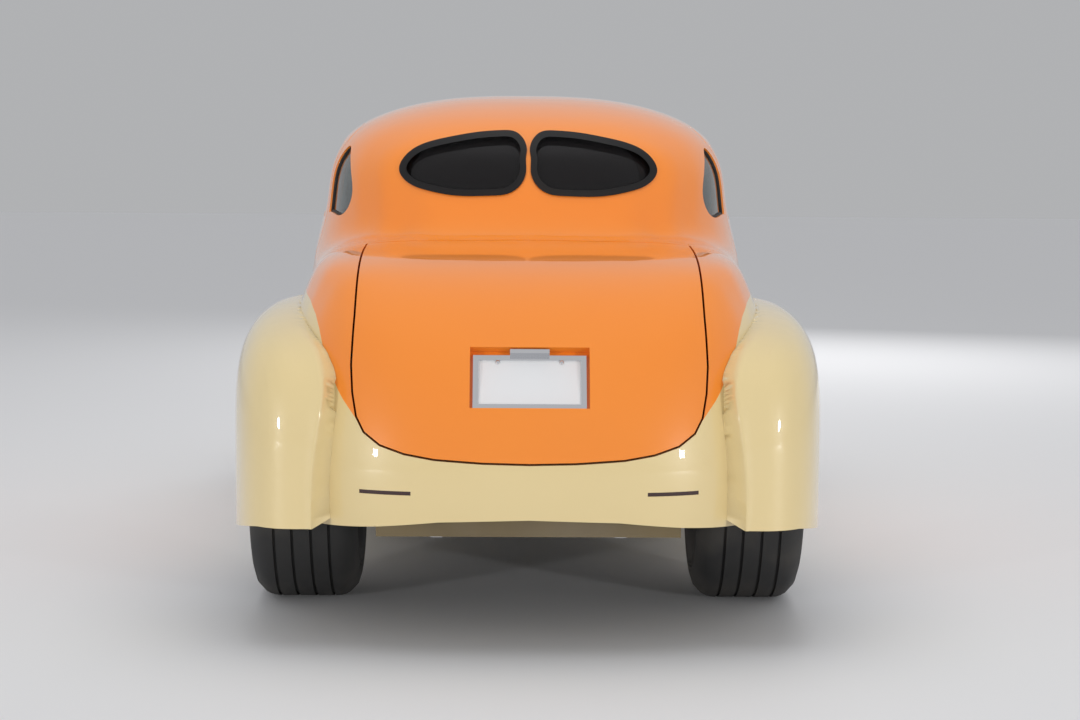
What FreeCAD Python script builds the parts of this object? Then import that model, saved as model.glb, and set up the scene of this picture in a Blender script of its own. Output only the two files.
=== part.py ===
"""A full-size two-door coupe street rod: pod body, egg-shaped fenders and a low split-window cab.

The frame has +Y forward, +X to the right of the car and +Z up, with its origin on the ground
under the middle of the car. Lengths are in millimetres.
"""
import FreeCAD
import Part
import Sketcher
import math
import os
import re
from types import SimpleNamespace

Vector = FreeCAD.Vector

SIZES = {
    # Skin of the body: places along the car are measured from the origin.
    "wall": 38,
    "panel_gap": 6,
    "hinge_radius": 6,
    "hinge_pin_radius": 3.5,
    "hinge_play": 0.3,
    "hinge_half_length": 12,
    "hinge_leaf": 24,
    "hinge_foot": 12,
    "hinge_strap": 4,
    "hinge_depth": 26,
    "door_hinge_across": 694,
    "door_hinge_along": 563,
    "door_hinge_low": 500,
    "door_hinge_high": 620,
    "hood_hinge_across": 110,
    "hood_hinge_along": 703,
    "hood_hinge_height": 1166,
    "seat_gap": 0.3,
    "trim_gap": 60,
    "body_half_width": 734,
    "body_middle_height": 470,
    "body_crown": 645,
    "cowl_rise": 70,
    "body_belly": 500,
    "tail_start": 1150,
    "tail_reach": 975,
    "nose_width_run": 2450,
    "nose_height_run": 3290,
    "nose_start": 1500,
    "nose_reach": 660,
    "roof_half_width": 692,
    "belt_flare": 26,
    "belt_height": 1230,
    "roof_start_height": 1000,
    "roof_crown": 578,
    "roof_peak": 250,
    "roof_back_reach": 975,
    "roof_front_reach": 894,
    "valley_blend": 35,
    "hinge_line_height": 270,
    "tail_hinge": 1250,
    "nose_hinge": 1500,
    "cowl": 700,
    "sill": 345,
    "nose_skin": 12,
    "nose_bottom": 420,
    # Trunk lid, recess and plate.
    "lid_front": 1300,
    "plate_lean": 30,
    "plate_back": 2036,
    "plate_height": 764,
    "plate_half_width": 152,
    "plate_half_height": 76,
    "plate_thickness": 2,
    "plate_rim": 6,
    "plate_rim_lap": 9,
    "plate_bolt_across": 89,
    "plate_bolt_up": 62,
    "plate_bolt_radius": 3.5,
    "recess_margin": 8,
    "light_half_width": 55,
    "lens_across": 399,
    "lens_half_width": 72,
    "lens_bottom": 459,
    "lens_top": 470,
    # Glass and rubber.
    "glass_depth": 12,
    "glass_thickness": 6,
    "gasket_lap": 9,
    "gasket_reach": 11,
    "gasket_proud": 5,
    "gasket_bite": 5,
    # Fenders.
    "fender_skin": 8,
    "rear_fender_outer": 880,
    "rear_fender_crown": 946,
    "rear_fender_back": 2050,
    "rear_fender_front": 690,
    "rear_opening": 380,
    "front_fender_outer": 870,
    "front_fender_crown": 880,
    "front_fender_back": 590,
    "front_fender_nose": 2150,
    "front_opening": 385,
    "lamp_across": 640,
    "lamp_radius": 92,
    # Wheels.
    "rear_axle": 1200,
    "front_axle": 1442,
    "rear_tyre_radius": 360,
    "rear_tyre_width": 326,
    "rear_track_half": 680,
    "rear_rim_radius": 205,
    "front_tyre_radius": 330,
    "front_tyre_width": 215,
    "front_track_half": 720,
    "front_rim_radius": 200,
    "tyre_shoulder": 74,
    "rim_lip": 14,
    "rim_disc": 12,
    "rim_windows": 10,
    "rim_window_radius": 17,
    "rim_window_circle": 122,
    "rear_disc_place": 10,
    "front_disc_place": 20,
    "rear_bore": 25,
    "front_bore": 22,
    "kingpin_half": 585,
    "kingpin_radius": 12,
    # Frame and suspension.
    "rail_inner": 350,
    "rail_width": 60,
    "rail_bottom": 300,
    "rail_top": 385,
    "rear_kick_bottom": 460,
    "rear_kick_top": 550,
    "front_kick_bottom": 430,
    "front_kick_top": 500,
    "frame_back": 2000,
    "frame_front": 1780,
    "frame_bolt_radius": 6.5,
    "leaf_across": 440,
    "leaf_width": 50,
    "leaf_thickness": 28,
    "rear_leaf_half_length": 480,
    "rear_leaf_sag": 70,
    "front_leaf_half_length": 420,
    "front_leaf_sag": 41,
    "axle_tube": 40,
    "diff_radius": 135,
    "drum_radius": 140,
    "shaft_radius": 38,
    "shaft_height": 338,
    # Cabin.
    "floor_top": 425,
    "floor_sheet": 15,
    "trunk_floor_top": 600,
    "riser": 800,
    "firewall": 655,
    "firewall_sheet": 12,
    "tub_radius": 390,
    "tub_sheet": 11.5,
    "tub_inner": 500,
    "seat_half_width": 560,
    "helm_across": 360,
    "helm_along": 220,
    "helm_height": 930,
    "helm_lean": 28.36,
    "helm_radius": 190,
    "helm_grip": 13,
}

document = FreeCAD.newDocument("StreetRod")
sheet = document.addObject("Spreadsheet::Sheet", "Sizes")
for row, (word, value) in enumerate(SIZES.items(), start=1):
    sheet.set("A%d" % row, word)
    sheet.set("B%d" % row, str(value))
    sheet.setAlias("B%d" % row, word)
document.recompute()
size = SimpleNamespace(**{word: float(sheet.get(word)) for word in SIZES})

pieces = []


# Objects of the document, with their sizes bound to the sheet.

def tied(formula):
    """A formula in which each word that names a size points at its cell."""
    return re.sub(
        r"[a-z]\w*",
        lambda word: "Sizes." + word[0] if word[0] in SIZES else word[0],
        str(formula),
    )


def number(formula):
    return float(sheet.evalExpression(tied(formula)))


def bound(kind, formulas):
    thing = document.addObject(kind, kind.split("::")[1])
    for path, formula in formulas.items():
        thing.setExpression(path, tied(formula))
    return thing


def box(low, high):
    """A box between two corners."""
    return bound("Part::Box", {
        "Length": "%s - (%s)" % (high[0], low[0]),
        "Width": "%s - (%s)" % (high[1], low[1]),
        "Height": "%s - (%s)" % (high[2], low[2]),
        "Placement.Base.x": low[0],
        "Placement.Base.y": low[1],
        "Placement.Base.z": low[2],
    })


ALONG = {
    "x": FreeCAD.Rotation(Vector(0, 1, 0), 90),
    "y": FreeCAD.Rotation(Vector(1, 0, 0), -90),
    "z": FreeCAD.Rotation(),
}


def bar(axis, start, end, radius):
    """A cylinder from a point to a coordinate further along an axis."""
    thing = bound("Part::Cylinder", {
        "Radius": radius,
        "Height": "%s - (%s)" % (end, start["xyz".index(axis)]),
        "Placement.Base.x": start[0],
        "Placement.Base.y": start[1],
        "Placement.Base.z": start[2],
    })
    thing.Placement.Rotation = ALONG[axis]
    return thing


def fused(*things):
    whole = document.addObject("Part::MultiFuse", "Fusion")
    whole.Shapes = list(things)
    return whole


def together(*things):
    """Separate solids kept as one sub-part."""
    group = document.addObject("Part::Compound", "Group")
    group.Links = list(things)
    return group


def less(base, *tools):
    """What is left of a piece when the tools are cut away."""
    rest = document.addObject("Part::Cut", "Cut")
    rest.Base = base
    rest.Tool = tools[0] if len(tools) == 1 else fused(*tools)
    return rest


def mirror(thing):
    """The mirror image on the other side of the car."""
    image = document.addObject("Part::Mirroring", "Mirror")
    image.Source = thing
    image.Normal = Vector(1, 0, 0)
    return image


def origin_part(body, role):
    return next(item for item in body.Origin.OriginFeatures if item.Role == role)


def profile_body(plane, corners):
    """A body with a closed sketch, each corner held by two sizes measured from the origin."""
    owner = document.addObject("PartDesign::Body", "Body")
    sketch = owner.newObject("Sketcher::SketchObject", "Profile")
    sketch.AttachmentSupport = (origin_part(owner, plane), "")
    sketch.MapMode = "FlatFace"
    places = [(number(a), number(b)) for a, b in corners]
    for start, end in zip(places, places[1:] + places[:1]):
        sketch.addGeometry(Part.LineSegment(Vector(*start, 0), Vector(*end, 0)))
    for index, corner in enumerate(corners):
        before = (index - 1) % len(corners)
        sketch.addConstraint(Sketcher.Constraint("Coincident", before, 2, index, 1))
        for way in (0, 1):
            kind = ("DistanceX", "DistanceY")[way]
            held = sketch.addConstraint(
                Sketcher.Constraint(kind, -1, 1, index, 1, places[index][way]))
            sketch.renameConstraint(held, "%s%d" % (kind, index))
            sketch.setExpression("Constraints.%s%d" % (kind, index), tied(corner[way]))
    return owner, sketch


def turned(corners):
    """A profile given as (across, radius), revolved about the car's cross axis."""
    owner, sketch = profile_body("XY_Plane", corners)
    ring = owner.newObject("PartDesign::Revolution", "Turned")
    ring.Profile = sketch
    ring.ReferenceAxis = (origin_part(owner, "X_Axis"), [""])
    ring.Angle = 360
    return owner


def padded(plane, corners, length):
    """A profile padded both ways from its plane."""
    owner, sketch = profile_body(plane, corners)
    pad = owner.newObject("PartDesign::Pad", "Padded")
    pad.Profile = sketch
    pad.setExpression("Length", tied(length))
    pad.Midplane = True
    return owner


def placed(thing, x, y, z):
    for path, formula in (("x", x), ("y", y), ("z", z)):
        thing.setExpression("Placement.Base." + path, tied(formula))
    return thing


def leaned(thing):
    """Set a piece that is drawn about the plate's middle into the leaning recess."""
    thing.Placement.Rotation = FreeCAD.Rotation(Vector(1, 0, 0), -size.plate_lean)
    return placed(thing, 0, "-plate_back", "plate_height")


def keep(name, thing):
    """Give a finished sub-part its name."""
    thing.Label = name
    pieces.append(thing)


def keep_pair(name, thing):
    keep(name + "_right", thing)
    keep(name + "_left", mirror(thing))


def stored(shape):
    """A shape made with Part's own functions, as an object of the document."""
    thing = document.addObject("Part::Feature", "Shape")
    thing.Shape = shape
    return thing


# The skin of the body.

def share(distance, reach, exponent):
    return (abs(distance) / reach) ** exponent


def ease(value):
    value = min(max(value, 0.0), 1.0)
    return value * value * (3 - 2 * value)


def pod(x, y, z):
    """The lower body and the bonnet: below zero inside, about in mm near the skin."""
    back = max(-size.tail_start - y, 0)
    ahead = max(y - size.nose_start, 0)
    width_run = max(y + size.roof_peak, 0) / size.nose_width_run
    height_run = max(y + size.tail_start, 0) / size.nose_height_run
    width = size.body_half_width * max(1 - 0.52 * width_run ** 1.8, 0.1)
    toward_nose = ease((y - 100) / 700)
    across = 4.2 + 1.8 * ease((z - 700) / 300) + 2.2 * ease((z - 970) / 110)
    across += (2.6 - across) * toward_nose
    upward = 4.5 - 2.1 * ease(back / 950)
    upward += (2.6 - upward) * toward_nose
    crown = size.body_crown + size.cowl_rise * ease((y + size.tail_start) / 1200)
    above = z > size.body_middle_height
    height = crown * max(1 - 0.3 * height_run ** 2.4, 0.1) if above else size.body_belly
    total = (
        share(x, width, across)
        + share(back, size.tail_reach, 2.9)
        + share(ahead, size.nose_reach, 2.45)
        + share(z - size.body_middle_height, height, upward if above else 2.4)
    )
    return (total ** (1 / 3) - 1) * 550


def roof(x, y, z):
    """The cab above the belt: below zero inside, about in mm near the skin."""
    along = y + size.roof_peak
    reach = size.roof_front_reach if along > 0 else size.roof_back_reach
    rise = max(z - size.roof_start_height, 0)
    width = size.roof_half_width + size.belt_flare * ease((size.belt_height - z) / 200)
    upward = 3 + 2 * min(share(x, width, 2), 1)
    total = (
        share(x, width, 2.9)
        + share(along, reach, 2.5)
        + share(rise, size.roof_crown, upward)
    )
    return (total ** (1 / 3) - 1) * 560


def body(x, y, z):
    """The pod and the roof run together, with a soft valley between them."""
    soft = size.valley_blend
    lower = pod(x, y, z)
    upper = roof(x, y, z)
    nearest = min(lower, upper)
    spread = math.exp((nearest - lower) / soft) + math.exp((nearest - upper) / soft)
    return nearest - soft * math.log(spread)


def meet(field, origin, way):
    """The point where a ray from inside crosses a field's skin."""
    inner, outer = 0.0, 3000.0
    for _ in range(40):
        middle = (inner + outer) / 2
        point = origin + way * middle
        if field(point.x, point.y, point.z) < 0:
            inner = middle
        else:
            outer = middle
    return origin + way * ((inner + outer) / 2)


def outward(field, point):
    """The unit normal of a field at a point."""
    step = 0.5
    x, y, z = point
    normal = Vector(
        field(x + step, y, z) - field(x - step, y, z),
        field(x, y + step, z) - field(x, y - step, z),
        field(x, y, z + step) - field(x, y, z - step),
    )
    return normal.normalize()


def fan(hinge, height, first, last, count):
    """Stations that turn about a line across the car: angles from straight back, over the top."""
    stations = []
    for index in range(count + 1):
        angle = math.radians(first + (last - first) * index / count)
        stations.append((Vector(0, hinge, height), Vector(0, -math.cos(angle), math.sin(angle))))
    return stations


def slices(start, end, height, count):
    """Stations across the car between two places along it."""
    up = Vector(0, 0, 1)
    return [
        (Vector(0, start + (end - start) * index / count, height), up) for index in range(count + 1)
    ]


def spread_angles(first, last, count):
    return [math.radians(first + (last - first) * index / count) for index in range(count + 1)]


def rays(field, stations, angles, across=0.0):
    """A grid of points and normals on a field's skin."""
    grid = []
    for centre, up in stations:
        origin = centre + Vector(across, 0, 0)
        line = []
        for angle in angles:
            way = Vector(math.cos(angle), 0, 0) + up * math.sin(angle)
            point = meet(field, origin, way)
            line.append((point, outward(field, point)))
        grid.append(line)
    return grid


def spline_skin(grid, offset):
    """One smooth surface through a grid, moved along its normals."""
    surface = Part.BSplineSurface()
    surface.interpolate([[point + normal * offset for point, normal in line] for line in grid])
    return surface


def closed_wall(grid, outside, inside):
    """A solid wall between two offsets of a grid, closed along its four edges."""
    outer = spline_skin(grid, outside)
    inner = spline_skin(grid, inside)
    bounds = outer.bounds()
    bounds_in = inner.bounds()
    faces = [outer.toShape(), inner.toShape()]
    for end in (0, 1):
        for first, second in (
            (outer.uIso(bounds[end]), inner.uIso(bounds_in[end])),
            (outer.vIso(bounds[2 + end]), inner.vIso(bounds_in[2 + end])),
        ):
            faces.append(Part.makeRuledSurface(first.toShape(), second.toShape(), 1))
    sewn = Part.Compound(faces)
    sewn.sewShape()
    solid = Part.Solid(sewn.Shells[0])
    return solid if solid.Volume > 0 else solid.reversed()


# Cutters: flat outlines pushed through the skin.

def smooth_outline(points, lift):
    """A closed curve through flat points, each turned into space by lift."""
    curve = Part.BSplineCurve()
    curve.interpolate([lift(*point) for point in points], PeriodicFlag=True)
    return Part.Wire([curve.toShape()])


def straight_outline(points, lift):
    corners = [lift(*point) for point in points]
    return Part.makePolygon(corners + [corners[0]])


def from_behind(points, y, depth, outline=straight_outline):
    """A prism along the car from an outline given as (x, z)."""
    wire = outline(points, lambda x, z: Vector(x, y, z))
    return Part.Face(wire).extrude(Vector(0, depth, 0))


def from_side(points, x, depth, outline=straight_outline):
    """A prism across the car from an outline given as (y, z)."""
    wire = outline(points, lambda y, z: Vector(x, y, z))
    return Part.Face(wire).extrude(Vector(depth, 0, 0))


def mirrored(points):
    """Both halves of an outline whose right half runs from the middle line to the middle line."""
    return points + [(-x, z) for x, z in reversed(points) if x > 0]


def widened(points, margin):
    """A closed outline with every side moved outward by the same margin."""
    count = len(points)
    area = sum(points[i - 1][0] * points[i][1] - points[i][0] * points[i - 1][1]
               for i in range(count))
    turn = 1 if area > 0 else -1
    normals = []
    for i in range(count):
        run = (points[i][0] - points[i - 1][0], points[i][1] - points[i - 1][1])
        length = math.hypot(*run) * turn
        normals.append((run[1] / length, -run[0] / length))
    result = []
    for i in range(count):
        first, second = normals[i], normals[(i + 1) % count]
        scale = margin / (1 + first[0] * second[0] + first[1] * second[1])
        result.append((points[i][0] + (first[0] + second[0]) * scale,
                       points[i][1] + (first[1] + second[1]) * scale))
    return result


def block(low, high):
    low, high = Vector(*low), Vector(*high)
    return Part.makeBox(high.x - low.x, high.y - low.y, high.z - low.z, low)


def rod(start, end, radius):
    start, end = Vector(*start), Vector(*end)
    return Part.makeCylinder(radius, (end - start).Length, start, end - start)


def other_side(shape):
    return shape.mirror(Vector(0, 0, 0), Vector(1, 0, 0))


def largest(shape):
    """The biggest solid of a shape, without slivers left by a cut."""
    return max(shape.Solids, key=lambda solid: solid.Volume)


def nearest_middle(shape):
    """The solid of a cut shape that lies nearest the middle plane of the car."""
    return min(shape.Solids, key=lambda solid: abs(solid.CenterOfMass.x))


def carve(shape, cutters):
    """Cut with one tool after another and keep the main solid."""
    for cutter in cutters:
        shape = largest(shape.cut(cutter))
    return shape


# Outlines of the openings, each as the real panel shows from behind (x, z) or from the side (y, z).

REAR_WINDOW = [
    (15, 1386), (22, 1427), (43, 1447), (85, 1452), (152, 1447), (250, 1430), (326, 1410),
    (378, 1378), (398, 1335), (374, 1303), (320, 1282), (240, 1267), (120, 1266), (63, 1274),
    (31, 1298), (16, 1336),
]
QUARTER_WINDOW = [
    (-715, 1185), (-820, 1182), (-915, 1200), (-935, 1245), (-890, 1320), (-800, 1382),
    (-720, 1400), (-700, 1360), (-695, 1270),
]
DOOR = [
    (-640, 420), (-655, 1000), (-668, 1250), (-640, 1420), (-560, 1468), (-250, 1492),
    (20, 1486), (180, 1462), (300, 1400), (430, 1270), (540, 1135), (560, 1000), (560, 420),
]
DOOR_WINDOW = [
    (-600, 1180), (-612, 1290), (-585, 1395), (-520, 1424), (-250, 1440), (20, 1434),
    (170, 1405), (290, 1320), (420, 1180), (300, 1165), (-100, 1165), (-500, 1168),
]
WINDSHIELD = [
    (0, 1200), (310, 1202), (420, 1215), (448, 1260), (430, 1340), (380, 1420), (290, 1450),
    (0, 1466),
]
LID = [
    (0, 550), (130, 553), (262, 562), (345, 576), (413, 598), (457, 630), (479, 670),
    (491, 734), (496, 807), (492, 940), (492, 1050), (496, 1300),
]
PAINT_LINE = [
    (675, 984), (639, 963), (615, 931), (600, 897), (584, 844), (571, 799), (550, 764),
    (537, 738), (521, 713), (495, 680), (466, 642), (435, 611),
]
PAN_BOTTOM = [(0, 392), (250, 385), (427, 367), (615, 352), (2600, 352)]
GRILLE = [(24, 470), (150, 474), (222, 540), (244, 640), (206, 705), (130, 722), (24, 700)]
GRILLE_RIM = [(0, 452), (165, 458), (240, 530), (262, 640), (220, 722), (132, 738), (0, 738)]
HOOD_LINE = [(500, 915), (1500, 905), (1950, 855), (2400, 830)]
FAR = 2600

around = spread_angles(5.5, 174.5, 48)
body_stations = (
    fan(-size.tail_hinge, size.hinge_line_height, 0, 84, 12)
    + slices(-size.tail_hinge, size.cowl, size.hinge_line_height, 20)
)
nose_stations = (
    slices(size.cowl + size.panel_gap, size.nose_hinge, size.hinge_line_height, 8)
    + fan(size.nose_hinge, size.hinge_line_height, 97.5, 180, 11)
)
skin = rays(body, body_stations, around)
nose_skin = rays(body, nose_stations, around)
shell_wall = closed_wall(skin, 0, -size.wall)
nose_wall = closed_wall(nose_skin, 0, -size.nose_skin)
glass_wall = closed_wall(skin, -size.glass_depth, -size.glass_depth - size.glass_thickness)
fender_cutter = closed_wall(skin, size.seat_gap, -30)
nose_cutter = closed_wall(nose_skin, size.seat_gap, -size.nose_skin)

below_pan = from_behind(PAN_BOTTOM + [(FAR, 0), (-FAR, 0)]
                        + [(-x, z) for x, z in reversed(PAN_BOTTOM) if x > 0], -FAR, FAR - 600)
below_sill = block((-FAR, -FAR, 0), (FAR, FAR, size.sill))
rear_hub = Vector(0, -size.rear_axle, size.rear_tyre_radius)
front_hub = Vector(0, size.front_axle, size.front_tyre_radius)


def axle_rod(hub, start, end, radius):
    """A cylinder across the car on a wheel's axis."""
    return rod((start, hub.y, hub.z), (end, hub.y, hub.z), radius)


rear_wheel_hole = axle_rod(rear_hub, -FAR, FAR, size.rear_opening)
front_wheel_hole = axle_rod(front_hub, -FAR, FAR, size.front_opening)
lid_prism = from_behind(mirrored(LID), -FAR, FAR - size.lid_front)
lid_hole = from_behind(widened(mirrored(LID), size.panel_gap), -FAR,
                       FAR - size.lid_front + size.panel_gap)
pan_prism = from_behind([(FAR, 984)] + PAINT_LINE + [(-x, z) for x, z in reversed(PAINT_LINE)]
                        + [(-FAR, 984), (-FAR, 0), (FAR, 0)], -FAR, FAR - 1300)
door_prism = from_side(DOOR, 250, FAR)
door_hole = from_side(widened(DOOR, size.panel_gap), 250, FAR)
door_window = from_side(DOOR_WINDOW, 250, FAR, smooth_outline)
quarter_window = from_side(QUARTER_WINDOW, 250, FAR, smooth_outline)
rear_window = from_behind(REAR_WINDOW, -1400, 900, smooth_outline)
windshield = from_behind(mirrored(WINDSHIELD), 100, 900)
lamp_slots = [
    block((x - size.lens_half_width, -FAR, size.lens_bottom),
          (x + size.lens_half_width, -1500, size.lens_top))
    for x in (-size.lens_across, size.lens_across)
]


def between(first, second):
    """A block between two opposite corners, given in any order."""
    low = [min(pair) for pair in zip(first, second)]
    high = [max(pair) for pair in zip(first, second)]
    return block(low, high)


def hinge_knuckle(middle, along, toward, inward):
    """One knuckle of a barrel hinge, with its strap and the foot set into a panel."""
    half = along * size.hinge_half_length
    end = middle + half + toward * size.hinge_leaf
    heel = middle - half + toward * (size.hinge_leaf - size.hinge_foot)
    strap = inward * size.hinge_strap
    knuckle = rod(middle - half, middle + half, size.hinge_radius)
    return knuckle.fuse([
        between(middle - half - strap, end + strap),
        between(heel - strap, end + inward * size.hinge_depth),
    ])


def hinge_halves(middle, along, steady, inward):
    """A barrel hinge: the fixed half with its pin, and the half that turns on it."""
    reach = along * (2 * size.hinge_half_length + size.panel_gap)
    tip = reach + along * size.hinge_half_length
    pin = rod(middle - tip, middle + tip, size.hinge_pin_radius)
    bore = rod(middle - tip, middle + tip, size.hinge_pin_radius + size.hinge_play)
    fixed = pin.fuse([
        hinge_knuckle(middle + reach, along, steady, inward),
        hinge_knuckle(middle - reach, along, steady, inward),
    ])
    return fixed, hinge_knuckle(middle, along, -steady, inward).cut(bore)


ahead_way, across_way, up_way = Vector(0, 1, 0), Vector(1, 0, 0), Vector(0, 0, 1)
door_hinges = [
    hinge_halves(Vector(size.door_hinge_across, size.door_hinge_along, height),
                 up_way, ahead_way, -across_way)
    for height in (size.door_hinge_low, size.door_hinge_high)
]
hood_hinges = [
    hinge_halves(Vector(across, size.hood_hinge_along, size.hood_hinge_height),
                 across_way, -ahead_way, -up_way)
    for across in (-size.hood_hinge_across, size.hood_hinge_across)
]


def build_shell():
    """The one-piece body: roof, quarters, pillars and cowl, with every opening cut."""
    cutters = [below_pan, below_sill, rear_wheel_hole, lid_hole, pan_prism, windshield]
    for cutter in (door_hole, quarter_window, rear_window):
        cutters += [cutter, other_side(cutter)]
    shell = carve(shell_wall, cutters)
    for fixed, _ in door_hinges:
        shell = shell.fuse([fixed, other_side(fixed)])
    return largest(shell.fuse([fixed for fixed, _ in hood_hinges]))


def build_door():
    """The right door, as thick as the wall, with its window cut and its hinges on."""
    door = shell_wall.common(door_prism).cut(door_window)
    return largest(door.fuse([moving for _, moving in door_hinges]))


def build_pan():
    """The pale roll pan between the fenders, with the strip that climbs beside their crowns."""
    pan = shell_wall.common(pan_prism)
    return carve(pan, [below_pan, rear_wheel_hole, lid_hole] + lamp_slots)


def leaning_block(low, high):
    """A block drawn about the plate's middle, leaned like the plate."""
    shape = block(low, high)
    shape.Placement = FreeCAD.Placement(
        Vector(0, -size.plate_back, size.plate_height),
        FreeCAD.Rotation(Vector(1, 0, 0), -size.plate_lean),
    ).multiply(shape.Placement)
    return shape


recess_half = size.plate_half_width + size.plate_rim + size.recess_margin
recess_low = -size.plate_half_height - size.plate_rim - 2
recess_high = size.plate_half_height + size.plate_rim + 14


def build_lid():
    """The trunk lid, with a leaning recess for the licence plate pressed into it."""
    recess = leaning_block((-recess_half, -200, recess_low),
                           (recess_half, 4 + size.seat_gap, recess_high))
    tray = leaning_block((-recess_half - 8, -60, recess_low - 8),
                         (recess_half + 8, 12, recess_high + 8))
    tray = tray.common(closed_wall(skin, -3, -140))
    lid = shell_wall.common(lid_prism)
    return largest(lid.fuse(tray).cut(recess))


def plate_bolt_holes():
    return [
        bar("y", (across, -20, "plate_bolt_up"), 20, "plate_bolt_radius")
        for across in ("-plate_bolt_across", "plate_bolt_across")
    ]


def build_plate():
    """The blank licence plate, drawn about its own middle."""
    sheet_metal = box(("-plate_half_width", "-plate_thickness", "-plate_half_height"),
                      ("plate_half_width", 0, "plate_half_height"))
    return leaned(less(sheet_metal, *plate_bolt_holes()))


def build_plate_frame():
    """A slim frame that laps the plate all round, with a small light on its top edge."""
    outer = box(("-plate_half_width - plate_rim", -6, "-plate_half_height - plate_rim"),
                ("plate_half_width + plate_rim", 4, "plate_half_height + plate_rim"))
    slot = box(("-plate_half_width - seat_gap", "-plate_thickness - seat_gap",
                "-plate_half_height - seat_gap"),
               ("plate_half_width + seat_gap", "seat_gap", "plate_half_height + seat_gap"))
    view = box(("-plate_half_width + plate_rim_lap", -10, "-plate_half_height + plate_rim_lap"),
               ("plate_half_width - plate_rim_lap", 0, "plate_half_height - plate_rim_lap"))
    light = box(("-light_half_width", -26, "plate_half_height + plate_rim - 2"),
                ("light_half_width", 4, "plate_half_height + plate_rim + 10"))
    return leaned(fused(less(outer, slot, view, *plate_bolt_holes()), light))


def build_tail_lamps():
    """The two slit lenses in the roll pan."""
    gap = size.seat_gap
    lenses = []
    for x in (-size.lens_across, size.lens_across):
        slot = block((x - size.lens_half_width + gap, -FAR, size.lens_bottom + gap),
                     (x + size.lens_half_width - gap, -1500, size.lens_top - gap))
        lenses.append(largest(closed_wall(skin, -2, -30).common(slot)))
    return Part.Compound(lenses)


# Fenders: egg shapes over the wheels.

def egg(centre, outer, crown, back, front):
    """A fender's field: sides fall straight below its centre."""
    half = outer - centre.x

    def field(x, y, z):
        along = y - centre.y
        reach = front if along > 0 else back
        rise = max(z - centre.z, 0)
        total = (
            share(x - centre.x, half, 3.6)
            + share(along, reach, 2.3)
            + share(rise, crown - centre.z, 4.4)
        )
        return (total ** (1 / 3) - 1) * 400
    return field


def last_angle(field, origin, up):
    """The turn at which a fender's skin has sunk a little way into the body."""
    low, high = 60.0, 170.0
    for _ in range(30):
        angle = math.radians((low + high) / 2)
        way = Vector(math.cos(angle), 0, 0) + up * math.sin(angle)
        point = meet(field, origin, way)
        if body(point.x, point.y, point.z) > -8:
            low = (low + high) / 2
        else:
            high = (low + high) / 2
    return low


def fender_grid(field, hub, across):
    grid = []
    for centre, up in fan(hub.y, hub.z, -14, 194, 26):
        origin = centre + Vector(across, 0, 0)
        end = last_angle(field, origin, up)
        grid += rays(field, [(centre, up)], spread_angles(10, end, 18), across)
    return grid


def build_fender(grid, hub, opening, cut_from, hem):
    shell = closed_wall(grid, 0, -size.fender_skin)
    hole = axle_rod(hub, cut_from, FAR, opening)
    return carve(shell, [hole, hem, fender_cutter, nose_cutter, board_space])


board_space = block((560, -1000, 0), (FAR, 1000, size.sill + size.seat_gap))
rear_egg = egg(Vector(600, -1250, 500), size.rear_fender_outer, size.rear_fender_crown,
               size.rear_fender_back - 1250, 1250 - size.rear_fender_front)
front_egg = egg(Vector(560, 1420, 440), size.front_fender_outer, size.front_fender_crown,
                1420 - size.front_fender_back, size.front_fender_nose - 1420)
rear_hem = from_side([(-FAR, 366), (-2000, 352), (-1860, 330), (-1560, 285), (-900, 285),
                      (-900, 0), (-FAR, 0)], 0, FAR)
front_hem = from_side([(FAR, 440), (2100, 420), (1880, 330), (1700, 285), (560, 285), (560, 0),
                       (FAR, 0)], 0, FAR)


def lamp_axis():
    return (size.lamp_across, 1900, 640), (size.lamp_across, 2200, 628)


def build_headlamp():
    """A round lamp with a domed lens, let into the front of a fender."""
    bucket = rod(*lamp_axis(), size.lamp_radius)
    return bucket.common(closed_wall(front_grid, 6, -90))


# Glass and rubber.

def pane(points, prism_of):
    """A pane that lies in its opening with a small gap all round."""
    return glass_wall.common(prism_of(widened(points, -size.seat_gap)))


def side_prism(points):
    return from_side(points, 250, FAR, smooth_outline)


def rear_window_prism(points):
    return from_behind(points, -1400, 900, smooth_outline)


def build_rear_seal():
    """A rubber ring that fills the edge of a rear window, laps the skin and grips the glass."""
    lip = closed_wall(skin, size.gasket_proud, size.seat_gap)
    web = closed_wall(skin, size.seat_gap, -size.wall + 8)
    hole = rear_window_prism(widened(REAR_WINDOW, -size.gasket_reach))
    lip_ring = lip.common(rear_window_prism(widened(REAR_WINDOW, size.gasket_lap))).cut(hole)
    web_ring = web.common(rear_window_prism(widened(REAR_WINDOW, -size.seat_gap))).cut(hole)
    groove = closed_wall(skin, size.seat_gap - size.glass_depth,
                         -size.glass_depth - size.glass_thickness - size.seat_gap)
    grip = size.gasket_bite - size.gasket_reach + size.seat_gap
    groove = groove.common(rear_window_prism(widened(REAR_WINDOW, grip)))
    return largest(lip_ring.fuse(web_ring).cut(groove))


def build_rear_glass():
    grip = size.gasket_bite - size.gasket_reach
    return glass_wall.common(rear_window_prism(widened(REAR_WINDOW, grip)))


# The nose: bonnet, front shell and grille.

above_hood_line = from_side(HOOD_LINE + [(2400, FAR), (500, FAR)], -FAR, 2 * FAR)
hood_cutter = from_side([(y, z - size.panel_gap) for y, z in HOOD_LINE]
                        + [(2400, FAR), (500, FAR)], -FAR, 2 * FAR)
grille_holes = [
    from_behind(GRILLE, 1800, 800),
    from_behind([(-x, z) for x, z in GRILLE], 1800, 800),
]
below_nose = block((-FAR, 500, 0), (FAR, FAR, size.nose_bottom))


def build_hood():
    hood = nose_wall.common(above_hood_line)
    return largest(hood.fuse([moving for _, moving in hood_hinges]))


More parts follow.
